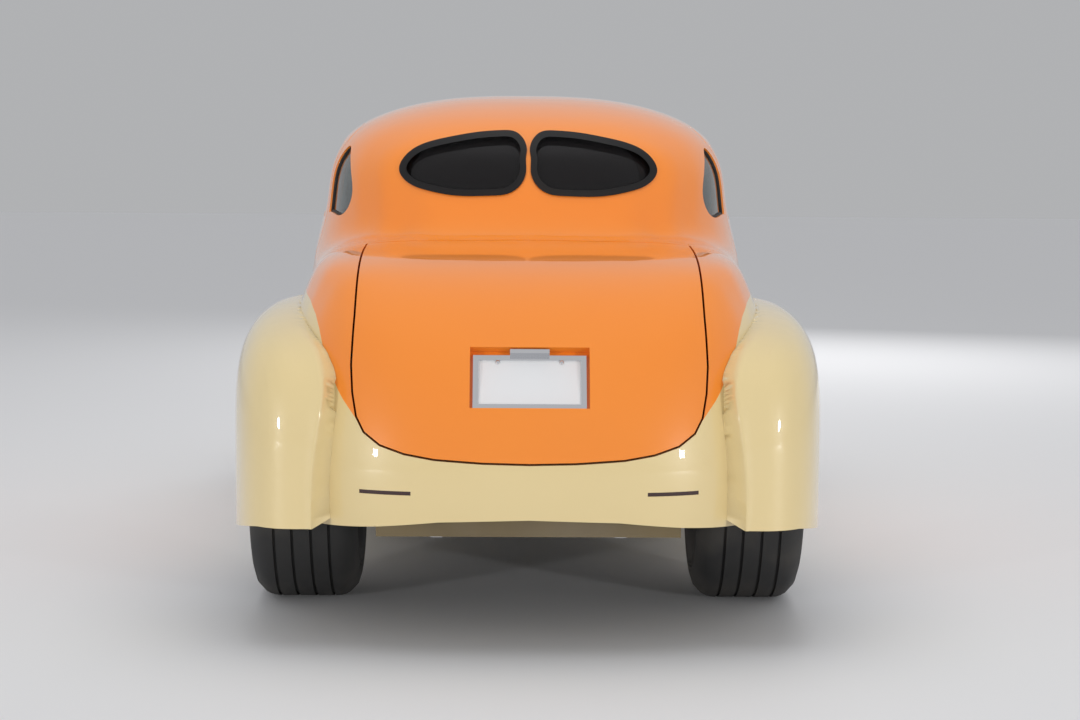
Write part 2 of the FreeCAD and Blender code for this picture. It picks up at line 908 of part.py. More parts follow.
def build_nose():
    return carve(nose_wall, [hood_cutter, below_nose, front_wheel_hole] + grille_holes)


def build_grille():
    """Upright bars in a ring behind each of the two openings, joined by the middle bar."""
    layer = closed_wall(nose_skin, -size.nose_skin, -size.nose_skin - 14)
    outer = from_behind(mirrored(GRILLE_RIM), 1800, 800)
    frame = layer.common(outer).cut(grille_holes)
    bars = []
    for step in range(1, 10):
        x = 24 + step * 22
        for side in (-x, x):
            bars.append(block((side - 4, 1800, 440), (side + 4, FAR, 760)))
    bar_set = layer.common(outer).common(Part.Compound(bars))
    return frame.fuse(bar_set.Solids)


# Frame, axles and suspension.

def build_frame():
    """Two kicked rails with their cross members, shackle plates and body bolt holes."""
    rail = padded("YZ_Plane", [
        ("-frame_back", "rear_kick_bottom"), (-980, "rear_kick_bottom"), (-820, "rail_bottom"),
        (1030, "rail_bottom"), (1180, "front_kick_bottom"), ("frame_front", "front_kick_bottom"),
        ("frame_front", "front_kick_top"), (1150, "front_kick_top"), (1000, "rail_top"),
        (-780, "rail_top"), (-950, "rear_kick_top"), ("-frame_back", "rear_kick_top"),
    ], "rail_width")
    placed(rail, "rail_inner + rail_width / 2", 0, 0)
    members = [
        box(("-rail_inner", back, low), ("rail_inner", front, high))
        for back, front, low, high in (
            (-1980, -1920, "rear_kick_bottom + 10", "rear_kick_top - 10"),
            (-1020, -970, "rear_kick_bottom + 10", "rear_kick_top - 10"),
            (1010, 1080, "rail_bottom + 10", "rail_top - 10"),
            ("front_axle - 42", "front_axle + 42", "front_kick_bottom", "front_kick_top - 5"),
            (1700, 1760, "front_kick_bottom + 5", "front_kick_top"),
        )
    ]
    hoop = less(box(("-rail_inner", -320, "rail_bottom - 15"),
                    ("rail_inner", -250, "rail_top + 10")),
                bar("y", (0, -330, "shaft_height"), -240, "shaft_radius + 8"))
    plates = []
    for inner, outer in (("rail_inner + rail_width", "leaf_across - seat_gap"),
                         ("seat_gap - leaf_across", "-rail_inner - rail_width")):
        plates.append(box((inner, -1700, 365), (outer, -1650, 500)))
        plates.append(box((inner, -760, 330), (outer, -710, 400)))
    holes = [
        bar("z", (across, along, 400), 600, "frame_bolt_radius")
        for across in ("-rail_inner - rail_width / 2", "rail_inner + rail_width / 2")
        for along in (-1830, -1770, 1560, 1620)
    ]
    return less(fused(rail, mirror(rail), hoop, *members, *plates), *holes)


def rear_axle_bar(start, end, radius):
    return bar("x", (start, "-rear_axle", "rear_tyre_radius"), end, radius)


def build_rear_axle():
    """The tube with its round middle housing, brake drums and stub ends."""
    stub_end = "(rear_track_half + rear_disc_place + 38)"
    return fused(
        rear_axle_bar(-600, 600, "axle_tube"),
        rear_axle_bar("-" + stub_end, stub_end, "rear_bore"),
        rear_axle_bar("25 - diff_radius", "diff_radius - 25", "diff_radius"),
        rear_axle_bar("rear_track_half - 90", "rear_track_half - 36", "drum_radius"),
        rear_axle_bar("36 - rear_track_half", "90 - rear_track_half", "drum_radius"),
        bar("y", (0, "-rear_axle", "rear_tyre_radius - 3"), -1000, 50),
    )


def leaf_corners(middle, top, half_length, sag):
    """Corners of a bent leaf pack: the upper line out, the lower line back."""
    turns = [step / 6 for step in range(-6, 7)]
    upper = [("%s + %s * (%.6f)" % (middle, half_length, t),
              "%s + (%s) * %.6f" % (top, sag, t * t)) for t in turns]
    return upper + [(a, b + " - leaf_thickness") for a, b in reversed(upper)]


def build_rear_spring():
    """A leaf pack bent along the car under the axle tube."""
    leaf = padded("YZ_Plane", leaf_corners(
        "-rear_axle", "rear_tyre_radius - axle_tube - seat_gap", "rear_leaf_half_length",
        "rear_leaf_sag"), "leaf_width")
    return placed(leaf, "leaf_across + leaf_width / 2", 0, 0)


def build_front_spring():
    """The leaf pack across the car under the front cross member."""
    leaf = padded("XZ_Plane", leaf_corners(
        "0", "front_kick_bottom - seat_gap", "front_leaf_half_length", "-front_leaf_sag"),
        "leaf_width")
    return placed(leaf, 0, "front_axle", 0)


def build_front_axle():
    """A tube across the car with a boss and a pin at each end."""
    things = [bar("x", ("15 - kingpin_half", "front_axle", "front_tyre_radius"),
                  "kingpin_half - 15", 30)]
    for across in ("-kingpin_half", "kingpin_half"):
        things.append(bar("z", (across, "front_axle", 290), 370, 28))
        things.append(bar("z", (across, "front_axle", 258), 402, "kingpin_radius"))
    return fused(*things)


def build_knuckle():
    """The right knuckle: two ears about the kingpin, a plate, the drum, the spindle and the arm."""
    hub_line = ("front_axle", "front_tyre_radius")
    things = [
        box(("kingpin_half + 35", "front_axle - 32", 268),
            ("kingpin_half + 53", "front_axle + 32", 392)),
        bar("x", ("kingpin_half + 50", *hub_line), "front_track_half + front_disc_place + 34",
            "front_bore"),
        bar("x", ("kingpin_half + 60", *hub_line), "kingpin_half + 104", "drum_radius - 12"),
        bar("x", ("kingpin_half + 50", *hub_line), "kingpin_half + 62", 50),
        box(("kingpin_half - 22", "front_axle - 150", 268),
            ("kingpin_half - 2", "front_axle - 10", 288)),
    ]
    for low, high in ((372, 392), (268, 288)):
        things.append(bar("z", ("kingpin_half", "front_axle", low), high, 28))
        things.append(box(("kingpin_half", "front_axle - 20", low),
                          ("kingpin_half + 50", "front_axle + 20", high)))
    hole = bar("z", ("kingpin_half", "front_axle", 200), 450, "kingpin_radius + seat_gap")
    return less(fused(*things), hole)


def build_tie_rod():
    """The bar that links the two arms, with an upright joint at each end."""
    along = "front_axle - 140"
    things = [bar("x", ("12 - kingpin_half", along, 250), "kingpin_half - 12", 12)]
    for across in ("12 - kingpin_half", "kingpin_half - 12"):
        things.append(bar("z", (across, along, 236), 267.5, 16))
    return fused(*things)


# Wheels: revolved about the cross axis, then set at their hubs.

def build_tyre(end):
    """A tyre: square crown with round shoulders, side walls down to the beads."""
    half = "%s_tyre_width / 2" % end
    radius = "%s_tyre_radius" % end
    right = []
    for step in range(5):
        angle = math.radians(90 * step / 4)
        right.append(("%s - tyre_shoulder * %.5f" % (half, 1 - math.sin(angle)),
                      "%s - tyre_shoulder * %.5f" % (radius, 1 - math.cos(angle))))
    right.append((half, "%s_rim_radius + 45" % end))
    right.append(("%s * 0.82" % half, "%s_rim_radius" % end))
    left = [("-(%s)" % across, up) for across, up in reversed(right)]
    return turned(right + left)


def build_rim(end):
    """Barrel, disc, hub and domed cap of a wheel."""
    half = "%s_tyre_width / 2 * 0.82" % end
    rim = "%s_rim_radius" % end
    face = "%s_disc_place" % end
    bore = "%s_bore + seat_gap" % end
    return turned([
        ("-(%s)" % half, rim), (half, rim), (half, rim + " - rim_lip"),
        (face + " + 34", rim + " - 22"), (face + " + rim_disc", rim + " - 40"),
        (face + " + rim_disc", 88), (face + " + 34", 72), (face + " + 50", 46),
        (face + " + 56", 20), (face + " + 57", 0), (face + " + 50", 0), (face + " + 44", bore),
        (face + " - 40", bore), (face + " - 40", 45), (face, 60), (face, rim + " - 44"),
        (face + " + 20", rim + " - 26"), ("-(%s)" % half, rim + " - 12"),
    ])


def rim_holes(end, hub_y):
    """The round windows of a wheel's disc, as cutters."""
    holes = []
    for step in range(int(size.rim_windows)):
        angle = 2 * math.pi * step / size.rim_windows
        holes.append(bar("x", (
            "%s_track_half - 20" % end,
            "%s + rim_window_circle * (%.6f)" % (hub_y, math.cos(angle)),
            "%s_tyre_radius + rim_window_circle * (%.6f)" % (end, math.sin(angle)),
        ), "%s_track_half + 70" % end, "rim_window_radius"))
    return holes


def keep_wheel(end, hub_y):
    place = ("%s_track_half" % end, hub_y, "%s_tyre_radius" % end)
    tyre = placed(build_tyre(end), *place)
    rim = less(placed(build_rim(end), *place), *rim_holes(end, hub_y))
    for name, thing in (("tyre", tyre), ("rim", rim)):
        keep("%s_%s_right" % (name, end), thing)
        keep("%s_%s_left" % (name, end), mirror(thing))


# Cabin.

def build_floor():
    """The cab floor, the riser behind the seat and the trunk floor over the axle."""
    cab = block((-900, 15 - size.riser, size.floor_top - size.floor_sheet),
                (900, size.firewall, size.floor_top))
    riser = block((-900, -size.riser, size.floor_top - size.floor_sheet),
                  (900, 15 - size.riser, size.trunk_floor_top))
    trunk = block((-900, -2300, size.trunk_floor_top - size.floor_sheet),
                  (900, -size.riser, size.trunk_floor_top))
    tub = axle_rod(rear_hub, size.tub_inner, FAR, size.tub_radius + size.tub_sheet + 0.5)
    sheets = cab.fuse([riser, trunk]).cut([tub, other_side(tub)])
    inside = nearest_middle(sheets.cut(closed_wall(skin, 20, -size.wall - size.seat_gap)))
    clear_wall = closed_wall(skin, 20, -size.wall - size.panel_gap)
    for low, high in (((-900, -670, 0), (900, 590, FAR)), ((-520, -FAR, 0), (520, -1500, FAR))):
        inside = nearest_middle(inside.cut(clear_wall.common(block(low, high))))
    return inside


def build_tub():
    """The wheel house inside the right quarter, open to the wheel."""
    outside = axle_rod(rear_hub, size.tub_inner, 900, size.tub_radius + size.tub_sheet)
    inside = axle_rod(rear_hub, size.tub_inner + 12, 950, size.tub_radius)
    low = block((0, -FAR, 0), (FAR, 0, 400))
    wall = closed_wall(skin, 20, -size.wall - size.seat_gap)
    return largest(outside.cut([inside, low, wall]))


def build_firewall():
    sheet_metal = block((-900, size.firewall, 400),
                        (900, size.firewall + size.firewall_sheet, 1200))
    return nearest_middle(sheet_metal.cut(closed_wall(skin, 20, -size.wall - size.seat_gap)))


def build_dashboard():
    panel = block((-900, 420, 900), (900, size.firewall - size.seat_gap, 1040))
    return nearest_middle(panel.cut(closed_wall(skin, 20, -size.wall - size.trim_gap)))


def helm_place(thing, along):
    """Set a piece that is drawn along Z onto the steering axis, at a distance from the hub."""
    lean = math.radians(size.helm_lean)
    thing.Placement.Rotation = FreeCAD.Rotation(Vector(1, 0, 0), -90 - size.helm_lean)
    return placed(thing, "-helm_across", "helm_along + %.6f" % (along * math.cos(lean)),
                  "helm_height - %.6f" % (along * math.sin(lean)))


def build_steering_wheel():
    """The rim, the hub and three spokes, leaning toward the driver."""
    rim = bound("Part::Torus", {"Radius1": "helm_radius", "Radius2": "helm_grip"})
    hub = bar("z", (0, 0, -10), 26, 40)
    spokes = []
    for turn in (90, 210, 330):
        way = Vector(math.cos(math.radians(turn)), math.sin(math.radians(turn)), 0)
        spoke = bound("Part::Cylinder", {"Radius": 8, "Height": "helm_radius"})
        spoke.Placement.Rotation = FreeCAD.Rotation(Vector(0, 0, 1), way)
        spokes.append(spoke)
    return helm_place(fused(rim, hub, *spokes), 0)


def build_column():
    """The steering column, from just behind the hub to the firewall."""
    tube = helm_place(bar("z", (0, 0, 0), 470, 22), 26 + size.seat_gap)
    return less(tube, box((-900, "firewall - seat_gap", 0), (900, 900, 1200)))


def build_seat():
    """The bench: a squab and a leaning back."""
    squab = box(("-seat_half_width", -480, "floor_top"), ("seat_half_width", 20, 640))
    back = padded("YZ_Plane", [(-480, 640.3), (-330, 640.3), (-470, 1080), (-600, 1080)],
                  "2 * seat_half_width")
    return together(squab, back)


def build_board():
    """A running board with a rolled outer edge."""
    board = padded("XZ_Plane", [
        (600, "sill - 30"), (600, "sill"), (846, "sill"), (860, "sill - 7"), (866, "sill - 22"),
        (866, "sill - 45"), (856, "sill - 45"), (850, "sill - 30"),
    ], 1290)
    return placed(board, 0, -45, 0)


front_grid = fender_grid(front_egg, front_hub, 600)
rear_fender = build_fender(fender_grid(rear_egg, rear_hub, 640), rear_hub, size.rear_opening,
                           780, rear_hem)
front_fender = build_fender(front_grid, front_hub, size.front_opening, 740, front_hem)
lamp_hole = rod(*lamp_axis(), size.lamp_radius + size.seat_gap)
rear_glass = stored(build_rear_glass())
rear_seal = stored(build_rear_seal())
quarter_pane = stored(pane(QUARTER_WINDOW, side_prism))
headlamp = stored(build_headlamp())
tub = stored(build_tub())
rear_spring = build_rear_spring()
board = build_board()

keep("body_shell", stored(build_shell()))
keep("roll_pan", stored(build_pan()))
keep("trunk_lid", stored(build_lid()))
keep_pair("door", stored(build_door()))
keep_pair("rear_fender", stored(rear_fender))
keep_pair("front_fender", stored(front_fender.cut(lamp_hole)))
keep("headlamps", together(headlamp, mirror(headlamp)))
keep("hood", stored(build_hood()))
keep("nose_shell", stored(build_nose()))
keep("grille", stored(build_grille()))
keep("radiator", box((-190, 1700, "front_kick_top"), (190, 1760, 850)))
keep("windshield", stored(pane(mirrored(WINDSHIELD),
                               lambda points: from_behind(points, 100, 900))))
keep("rear_windows", together(rear_glass, mirror(rear_glass)))
keep("rear_window_seals", together(rear_seal, mirror(rear_seal)))
keep_pair("door_glass", stored(pane(DOOR_WINDOW, side_prism)))
keep("quarter_glass", together(quarter_pane, mirror(quarter_pane)))
keep("licence_plate", build_plate())
keep("plate_frame", build_plate_frame())
keep("tail_lamps", stored(build_tail_lamps()))
keep("fuel_tank", box((-430, -1985, 322), (430, -1725, "rear_kick_bottom - seat_gap")))
keep("running_boards", together(board, mirror(board)))
keep("chassis_frame", build_frame())
keep("engine", fused(box((-280, 800, 375), (280, 1390, 960)),
                     box((-120, 60, 262), (120, 800, 400))))
keep("driveshaft", bar("y", (0, "-1000 + seat_gap", "shaft_height"), "60 - seat_gap",
                       "shaft_radius"))
keep("rear_axle", build_rear_axle())
keep("rear_springs", together(rear_spring, mirror(rear_spring)))
keep("front_axle", build_front_axle())
keep("front_spring", build_front_spring())
keep_pair("knuckle", build_knuckle())
keep("tie_rod", build_tie_rod())
keep_wheel("rear", "-rear_axle")
keep_wheel("front", "front_axle")
keep("floor", stored(build_floor()))
keep("firewall", stored(build_firewall()))
keep("wheel_tubs", together(tub, mirror(tub)))
keep("dashboard", stored(build_dashboard()))
keep("steering_wheel", build_steering_wheel())
keep("steering_column", build_column())
keep("bench_seat", build_seat())

document.recompute()
for thing in document.Objects:
    if {"Invalid", "Error"} & set(thing.State):
        raise RuntimeError(thing.Label + " failed")
for thing in pieces:
    if thing.Shape.isNull() or not thing.Shape.isValid():
        raise RuntimeError(thing.Label + " has no valid shape")
os.makedirs("parts", exist_ok=True)
for thing in pieces:
    thing.Shape.exportStep("parts/%s.step" % thing.Label)
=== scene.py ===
import math

import bmesh
import bpy
from mathutils import Matrix, Vector
from mathutils.bvhtree import BVHTree


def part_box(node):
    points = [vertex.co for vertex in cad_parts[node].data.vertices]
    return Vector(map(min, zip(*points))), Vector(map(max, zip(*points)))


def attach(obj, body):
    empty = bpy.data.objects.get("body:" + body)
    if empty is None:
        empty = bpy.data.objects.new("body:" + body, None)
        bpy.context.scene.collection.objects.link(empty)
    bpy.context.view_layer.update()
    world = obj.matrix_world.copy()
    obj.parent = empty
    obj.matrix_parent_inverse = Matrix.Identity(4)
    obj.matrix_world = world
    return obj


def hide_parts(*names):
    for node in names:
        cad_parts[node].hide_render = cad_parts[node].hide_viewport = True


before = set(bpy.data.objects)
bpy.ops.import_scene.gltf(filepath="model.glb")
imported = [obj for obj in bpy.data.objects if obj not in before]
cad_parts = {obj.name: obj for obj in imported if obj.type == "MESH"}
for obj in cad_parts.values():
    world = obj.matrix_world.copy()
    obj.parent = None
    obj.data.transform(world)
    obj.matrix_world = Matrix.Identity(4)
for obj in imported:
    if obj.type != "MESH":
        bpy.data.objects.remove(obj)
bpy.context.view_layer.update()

# The camera.
# It stands behind the car a little left of its middle line, at eye height with a long lens, and
# looks down slightly. Its place comes from the floor tiles and the licence plate's known size.

FOCAL_PIXELS = 2317
PICTURE_WIDTH = 1080
SENSOR_WIDTH = 36.0
EYE = Vector((-0.06, -8.43, 1.475))
LOOK_DOWN = math.radians(5.77)
LOOK_RIGHT = math.radians(0.79)
ROLL = math.radians(0.4)

camera_data = bpy.data.cameras.new("camera")
camera_data.sensor_width = SENSOR_WIDTH
camera_data.lens = FOCAL_PIXELS / PICTURE_WIDTH * SENSOR_WIDTH
camera_data.clip_end = 200
camera = bpy.data.objects.new("camera", camera_data)
bpy.context.scene.collection.objects.link(camera)
turn = (
    Matrix.Rotation(-LOOK_RIGHT, 4, "Z")
    @ Matrix.Rotation(math.pi / 2 - LOOK_DOWN, 4, "X")
    @ Matrix.Rotation(ROLL, 4, "Z")
)
camera.matrix_world = Matrix.Translation(EYE) @ turn
bpy.context.scene.camera = camera

# The studio.
# A plain pale floor in a pale surround, with a wide soft light over the car, two small ones
# behind it and one ahead. The camera sees the surround as pale as the far floor.

FLOOR_SIZE = 60.0
FLOOR_COLOUR = (0.80, 0.80, 0.81)
SURROUND_COLOUR = (0.84, 0.85, 0.87)
SURROUND_LIGHT = 0.65
SURROUND_SEEN = 0.52


def deselect():
    for other in bpy.context.selected_objects:
        other.select_set(False)


deselect()
bpy.ops.mesh.primitive_plane_add(size=FLOOR_SIZE, location=(0, 0, 0))
floor = bpy.context.object
floor.name = "studio_floor"
floor_finish = bpy.data.materials.new("studio_floor")
floor_finish.use_nodes = True
floor_shader = floor_finish.node_tree.nodes["Principled BSDF"]
floor_shader.inputs["Base Color"].default_value = (*FLOOR_COLOUR, 1)
floor_shader.inputs["Roughness"].default_value = 0.85
floor_shader.inputs["Specular IOR Level"].default_value = 0.2
floor.data.materials.append(floor_finish)

world = bpy.data.worlds.new("studio")
bpy.context.scene.world = world
world.use_nodes = True
surround = world.node_tree.nodes["Background"]
surround.inputs["Color"].default_value = (*SURROUND_COLOUR, 1)
seen_by = world.node_tree.nodes.new("ShaderNodeLightPath")
surround_strength = world.node_tree.nodes.new("ShaderNodeMix")
surround_strength.inputs["A"].default_value = SURROUND_LIGHT
surround_strength.inputs["B"].default_value = SURROUND_SEEN
world.node_tree.links.new(seen_by.outputs["Is Camera Ray"], surround_strength.inputs["Factor"])
world.node_tree.links.new(surround_strength.outputs["Result"], surround.inputs["Strength"])


def soft_light(name, place, aim, width, depth, power, mirrored=True):
    data = bpy.data.lights.new(name, "AREA")
    data.shape = "RECTANGLE"
    data.size = width
    data.size_y = depth
    data.energy = power
    light = bpy.data.objects.new(name, data)
    light.visible_glossy = mirrored
    bpy.context.scene.collection.objects.link(light)
    turn = (Vector(aim) - Vector(place)).to_track_quat("-Z", "Y").to_matrix().to_4x4()
    light.matrix_world = Matrix.Translation(place) @ turn


soft_light("overhead", (0, -0.8, 5.0), (0, -0.5, 0), 4.0, 6.0, 90, mirrored=False)
soft_light("behind_left", (-5.4, -7.4, 1.0), (0, -1.9, 0.8), 0.45, 0.45, 120)
soft_light("behind_right", (5.4, -7.4, 1.0), (0, -1.9, 0.8), 0.45, 0.45, 135)
soft_light("ahead", (2.0, 7.5, 3.2), (0, 1.0, 0.6), 2.5, 1.5, 110, mirrored=False)
bpy.context.scene.view_settings.view_transform = "Standard"

# The paint.
# Two coats of solid enamel under a clear coat, flatted and polished: orange on the body, the
# bonnet and the lid, pale cream on the fenders and the roll pan. It is sprayed on steel panels.

ORANGE = (0.95, 0.275, 0.018)
ORANGE_SHADE = (0.93, 0.250, 0.014)
CREAM = (0.80, 0.64, 0.33)
CREAM_SHADE = (0.77, 0.605, 0.30)
ROAD_DUST = (0.30, 0.26, 0.21)
DRIFT_SCALE = 2.3
DRIFT_EDGES = (0.45, 0.75)
DUST_DULLS = 0.5


def surface_look():
    """A node group: patches of a second colour, dust in drifts, and a fine grain."""
    group = bpy.data.node_groups.new("surface_look", "ShaderNodeTree")
    for name, kind in (
        ("Where", "NodeSocketVector"), ("Colour", "NodeSocketColor"),
        ("Patch Colour", "NodeSocketColor"), ("Dust Colour", "NodeSocketColor"),
        ("Patch Scale", "NodeSocketFloat"), ("Dust", "NodeSocketFloat"),
        ("Grain Scale", "NodeSocketFloat"), ("Roughness", "NodeSocketFloat"),
    ):
        group.interface.new_socket(name=name, in_out="INPUT", socket_type=kind)
    for name, kind in (
        ("Colour", "NodeSocketColor"), ("Roughness", "NodeSocketFloat"),
        ("Grain", "NodeSocketFloat"),
    ):
        group.interface.new_socket(name=name, in_out="OUTPUT", socket_type=kind)
    nodes, links = group.nodes, group.links
    given = nodes.new("NodeGroupInput")
    result = nodes.new("NodeGroupOutput")

    def noise(scale, detail):
        cloud = nodes.new("ShaderNodeTexNoise")
        cloud.inputs["Detail"].default_value = detail
        links.new(given.outputs["Where"], cloud.inputs["Vector"])
        if isinstance(scale, str):
            links.new(given.outputs[scale], cloud.inputs["Scale"])
        else:
            cloud.inputs["Scale"].default_value = scale
        return cloud.outputs["Fac"]

    patches = nodes.new("ShaderNodeMix")
    patches.data_type = "RGBA"
    links.new(noise("Patch Scale", 3), patches.inputs[0])
    links.new(given.outputs["Colour"], patches.inputs[6])
    links.new(given.outputs["Patch Colour"], patches.inputs[7])
    drift = noise(DRIFT_SCALE, 6)
    edge = nodes.new("ShaderNodeMapRange")
    edge.inputs["From Min"].default_value, edge.inputs["From Max"].default_value = DRIFT_EDGES
    links.new(drift, edge.inputs["Value"])
    amount = nodes.new("ShaderNodeMath")
    amount.operation = "MULTIPLY"
    links.new(edge.outputs["Result"], amount.inputs[0])
    links.new(given.outputs["Dust"], amount.inputs[1])
    dusted = nodes.new("ShaderNodeMix")
    dusted.data_type = "RGBA"
    links.new(amount.outputs[0], dusted.inputs[0])
    links.new(patches.outputs[2], dusted.inputs[6])
    links.new(given.outputs["Dust Colour"], dusted.inputs[7])
    links.new(dusted.outputs[2], result.inputs["Colour"])
    duller = nodes.new("ShaderNodeMath")
    duller.operation = "MULTIPLY_ADD"
    duller.use_clamp = True
    links.new(amount.outputs[0], duller.inputs[0])
    duller.inputs[1].default_value = DUST_DULLS
    links.new(given.outputs["Roughness"], duller.inputs[2])
    links.new(duller.outputs[0], result.inputs["Roughness"])
    links.new(noise("Grain Scale", 4), result.inputs["Grain"])
    return group


look_group = surface_look()


def finish(name, colour, patch_colour, roughness, dust=0.0, grain_scale=150.0, grain_depth=0.0,
           patch_scale=3.0, plain=()):
    """A material from the surface look, with its plain shader sockets set one by one."""
    material = bpy.data.materials.new(name)
    material.use_nodes = True
    nodes, links = material.node_tree.nodes, material.node_tree.links
    shader = nodes["Principled BSDF"]
    where = nodes.new("ShaderNodeTexCoord")
    look = nodes.new("ShaderNodeGroup")
    look.node_tree = look_group
    links.new(where.outputs["Object"], look.inputs["Where"])
    look.inputs["Colour"].default_value = (*colour, 1)
    look.inputs["Patch Colour"].default_value = (*patch_colour, 1)
    look.inputs["Dust Colour"].default_value = (*ROAD_DUST, 1)
    look.inputs["Patch Scale"].default_value = patch_scale
    look.inputs["Dust"].default_value = dust
    look.inputs["Grain Scale"].default_value = grain_scale
    look.inputs["Roughness"].default_value = roughness
    links.new(look.outputs["Colour"], shader.inputs["Base Color"])
    links.new(look.outputs["Roughness"], shader.inputs["Roughness"])
    if grain_depth:
        bump = nodes.new("ShaderNodeBump")
        bump.inputs["Strength"].default_value = 1.0
        bump.inputs["Distance"].default_value = grain_depth
        links.new(look.outputs["Grain"], bump.inputs["Height"])
        links.new(bump.outputs["Normal"], shader.inputs["Normal"])
    for socket, value in dict(plain).items():
        shader.inputs[socket].default_value = value
    return material


def dress(names, material):
    """Give CAD nodes their finish."""
    for name in names:
        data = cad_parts[name].data
        if not data.materials:
            data.materials.append(material)
        for index in range(len(data.materials)):
            data.materials[index] = material


CLEAR_COAT = {"Coat Weight": 1.0, "Coat Roughness": 0.025, "Specular IOR Level": 0.35}
orange = finish("orange_gloss", ORANGE, ORANGE_SHADE, 0.38, 0.015, 40, 0.00006, 2.0, CLEAR_COAT)
cream = finish("cream_gloss", CREAM, CREAM_SHADE, 0.38, 0.02, 40, 0.00006, 2.0, CLEAR_COAT)
dress(["body_shell", "trunk_lid", "door_left", "door_right", "hood", "nose_shell"], orange)
dress(["roll_pan", "rear_fender_left", "rear_fender_right", "front_fender_left",
       "front_fender_right", "running_boards"], cream)

# The rear fenders.
# Egg-shaped steel pressings, bolted on along a flange. Their inner sides fall steeply to the
# roll pan, so that its cream flange shows beside their crowns. Each is its CAD pressing, drawn
# in from the middle of the car and carried into the body's wall.

REAR_AXLE = -1.2
TYRE_MIDDLE_HEIGHT = 0.4
DRAW_FROM = 0.74
DRAW_EDGE = 0.49
DRAW_LOW = 0.112
DRAW_HIGH = 0.080
DRAW_BEHIND = -1.15
DRAW_RUN = 0.45
DRAW_BOTTOM = 0.42
DRAW_RISE = 0.35
SEAT_GAP = 0.0045
SEAT_DEPTH = 0.012
SMOOTH_ABOVE = 0.43
SMOOTH_ROUNDS = 4
INNER_WALL_ROOM = 0.010
WALL_BEHIND = -1.25


def pick(piece):
    """Select one piece only, and make it active."""
    deselect()
    piece.select_set(True)
    bpy.context.view_layer.objects.active = piece


def merged_copy(node, name):
    """A copy of a CAD node with its loose triangles joined."""
    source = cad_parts[node]
    copy = bpy.data.objects.new(name, source.data.copy())
    bpy.context.scene.collection.objects.link(copy)
    copy.data.materials.clear()
    pick(copy)
    bpy.ops.object.mode_set(mode="EDIT")
    bpy.ops.mesh.select_all(action="SELECT")
    bpy.ops.mesh.remove_doubles(threshold=0.00002)
    bpy.ops.object.mode_set(mode="OBJECT")
    return copy


def eased(value):
    """0 to 1, with a soft start and a soft end."""
    value = min(max(value, 0.0), 1.0)
    return value * value * (3 - 2 * value)


skin_mesh = bmesh.new()
for node in ("body_shell", "roll_pan"):
    skin_mesh.from_mesh(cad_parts[node].data)
body_skin = BVHTree.FromBMesh(skin_mesh)
skin_mesh.free()

for side, outward in (("left", -1), ("right", 1)):
    fender = merged_copy("rear_fender_" + side, "drawn_fender_" + side)
    seat = [vertex for vertex in fender.data.vertices
            if body_skin.find_nearest(vertex.co)[3] < SEAT_GAP]
    hub = Vector((outward * DRAW_FROM, REAR_AXLE, TYRE_MIDDLE_HEIGHT))
    facing = [vertex.normal.dot(vertex.co - hub) for vertex in fender.data.vertices]
    normals = [vertex.normal.copy() for vertex in fender.data.vertices]
    for vertex in fender.data.vertices:
        across = vertex.co.x * outward
        if across < DRAW_FROM:
            inner_wall = facing[vertex.index] < 0 and vertex.co.z > SMOOTH_ABOVE
            if inner_wall and vertex.co.y < WALL_BEHIND:
                vertex.co += normals[vertex.index] * INNER_WALL_ROOM
            back = eased((DRAW_BEHIND - vertex.co.y) / DRAW_RUN)
            height = eased((vertex.co.z - DRAW_BOTTOM) / DRAW_RISE)
            draw = DRAW_LOW + (DRAW_HIGH - DRAW_LOW) * height
            share = min((DRAW_FROM - across) / (DRAW_FROM - DRAW_EDGE), 1.05)
            vertex.co.x += outward * draw * share * share * back
    for vertex in seat:
        if vertex.co.y < DRAW_BEHIND:
            place, normal, _, _ = body_skin.find_nearest(vertex.co)
            inward = (place - vertex.co).normalized()
            if (vertex.co - place).dot(normal) > 0:
                vertex.co = place + inward * SEAT_DEPTH
    seated = {vertex.index for vertex in seat}
    bpy.ops.object.mode_set(mode="EDIT")
    bpy.ops.mesh.select_mode(type="VERT")
    bpy.ops.mesh.select_all(action="DESELECT")
    bpy.ops.object.mode_set(mode="OBJECT")
    for vertex in fender.data.vertices:
        inner = vertex.co.x * outward < DRAW_FROM + 0.02 and vertex.co.y < REAR_AXLE
        vertex.select = inner and vertex.co.z > SMOOTH_ABOVE and vertex.index not in seated
    bpy.ops.object.mode_set(mode="EDIT")
    bpy.ops.mesh.vertices_smooth(factor=0.5, repeat=SMOOTH_ROUNDS)
    bpy.ops.object.mode_set(mode="OBJECT")
    bpy.ops.object.shade_smooth_by_angle(angle=math.radians(30))
    fender.data.materials.append(cream)
    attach(fender, "car")
    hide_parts("rear_fender_" + side)

# The windows.
# Laminated glass, smoked at the back, held in rings of black extruded rubber that lap the steel.
# The side panes and the windshield have a thinner bead along their edges.

BEAD_RADIUS = 0.0065
BEAD_CREASE = 0.9
BEAD_FACING = 0.45

smoked = finish("smoked_glass", (0.050, 0.044, 0.045), (0.045, 0.04, 0.041), 0.01,
                plain={"Transmission Weight": 0.85, "IOR": 1.25})
clear = finish("side_glass", (0.30, 0.34, 0.34), (0.28, 0.32, 0.32), 0.01,
               plain={"Transmission Weight": 0.95, "IOR": 1.5})
rubber = finish("black_rubber", (0.010, 0.010, 0.011), (0.016, 0.015, 0.015), 0.5, 0.04, 900,
                0.0002, plain={"Specular IOR Level": 0.25})
dress(["rear_windows"], smoked)
dress(["quarter_glass", "windshield", "door_glass_left", "door_glass_right"], clear)
dress(["rear_window_seals"], rubber)


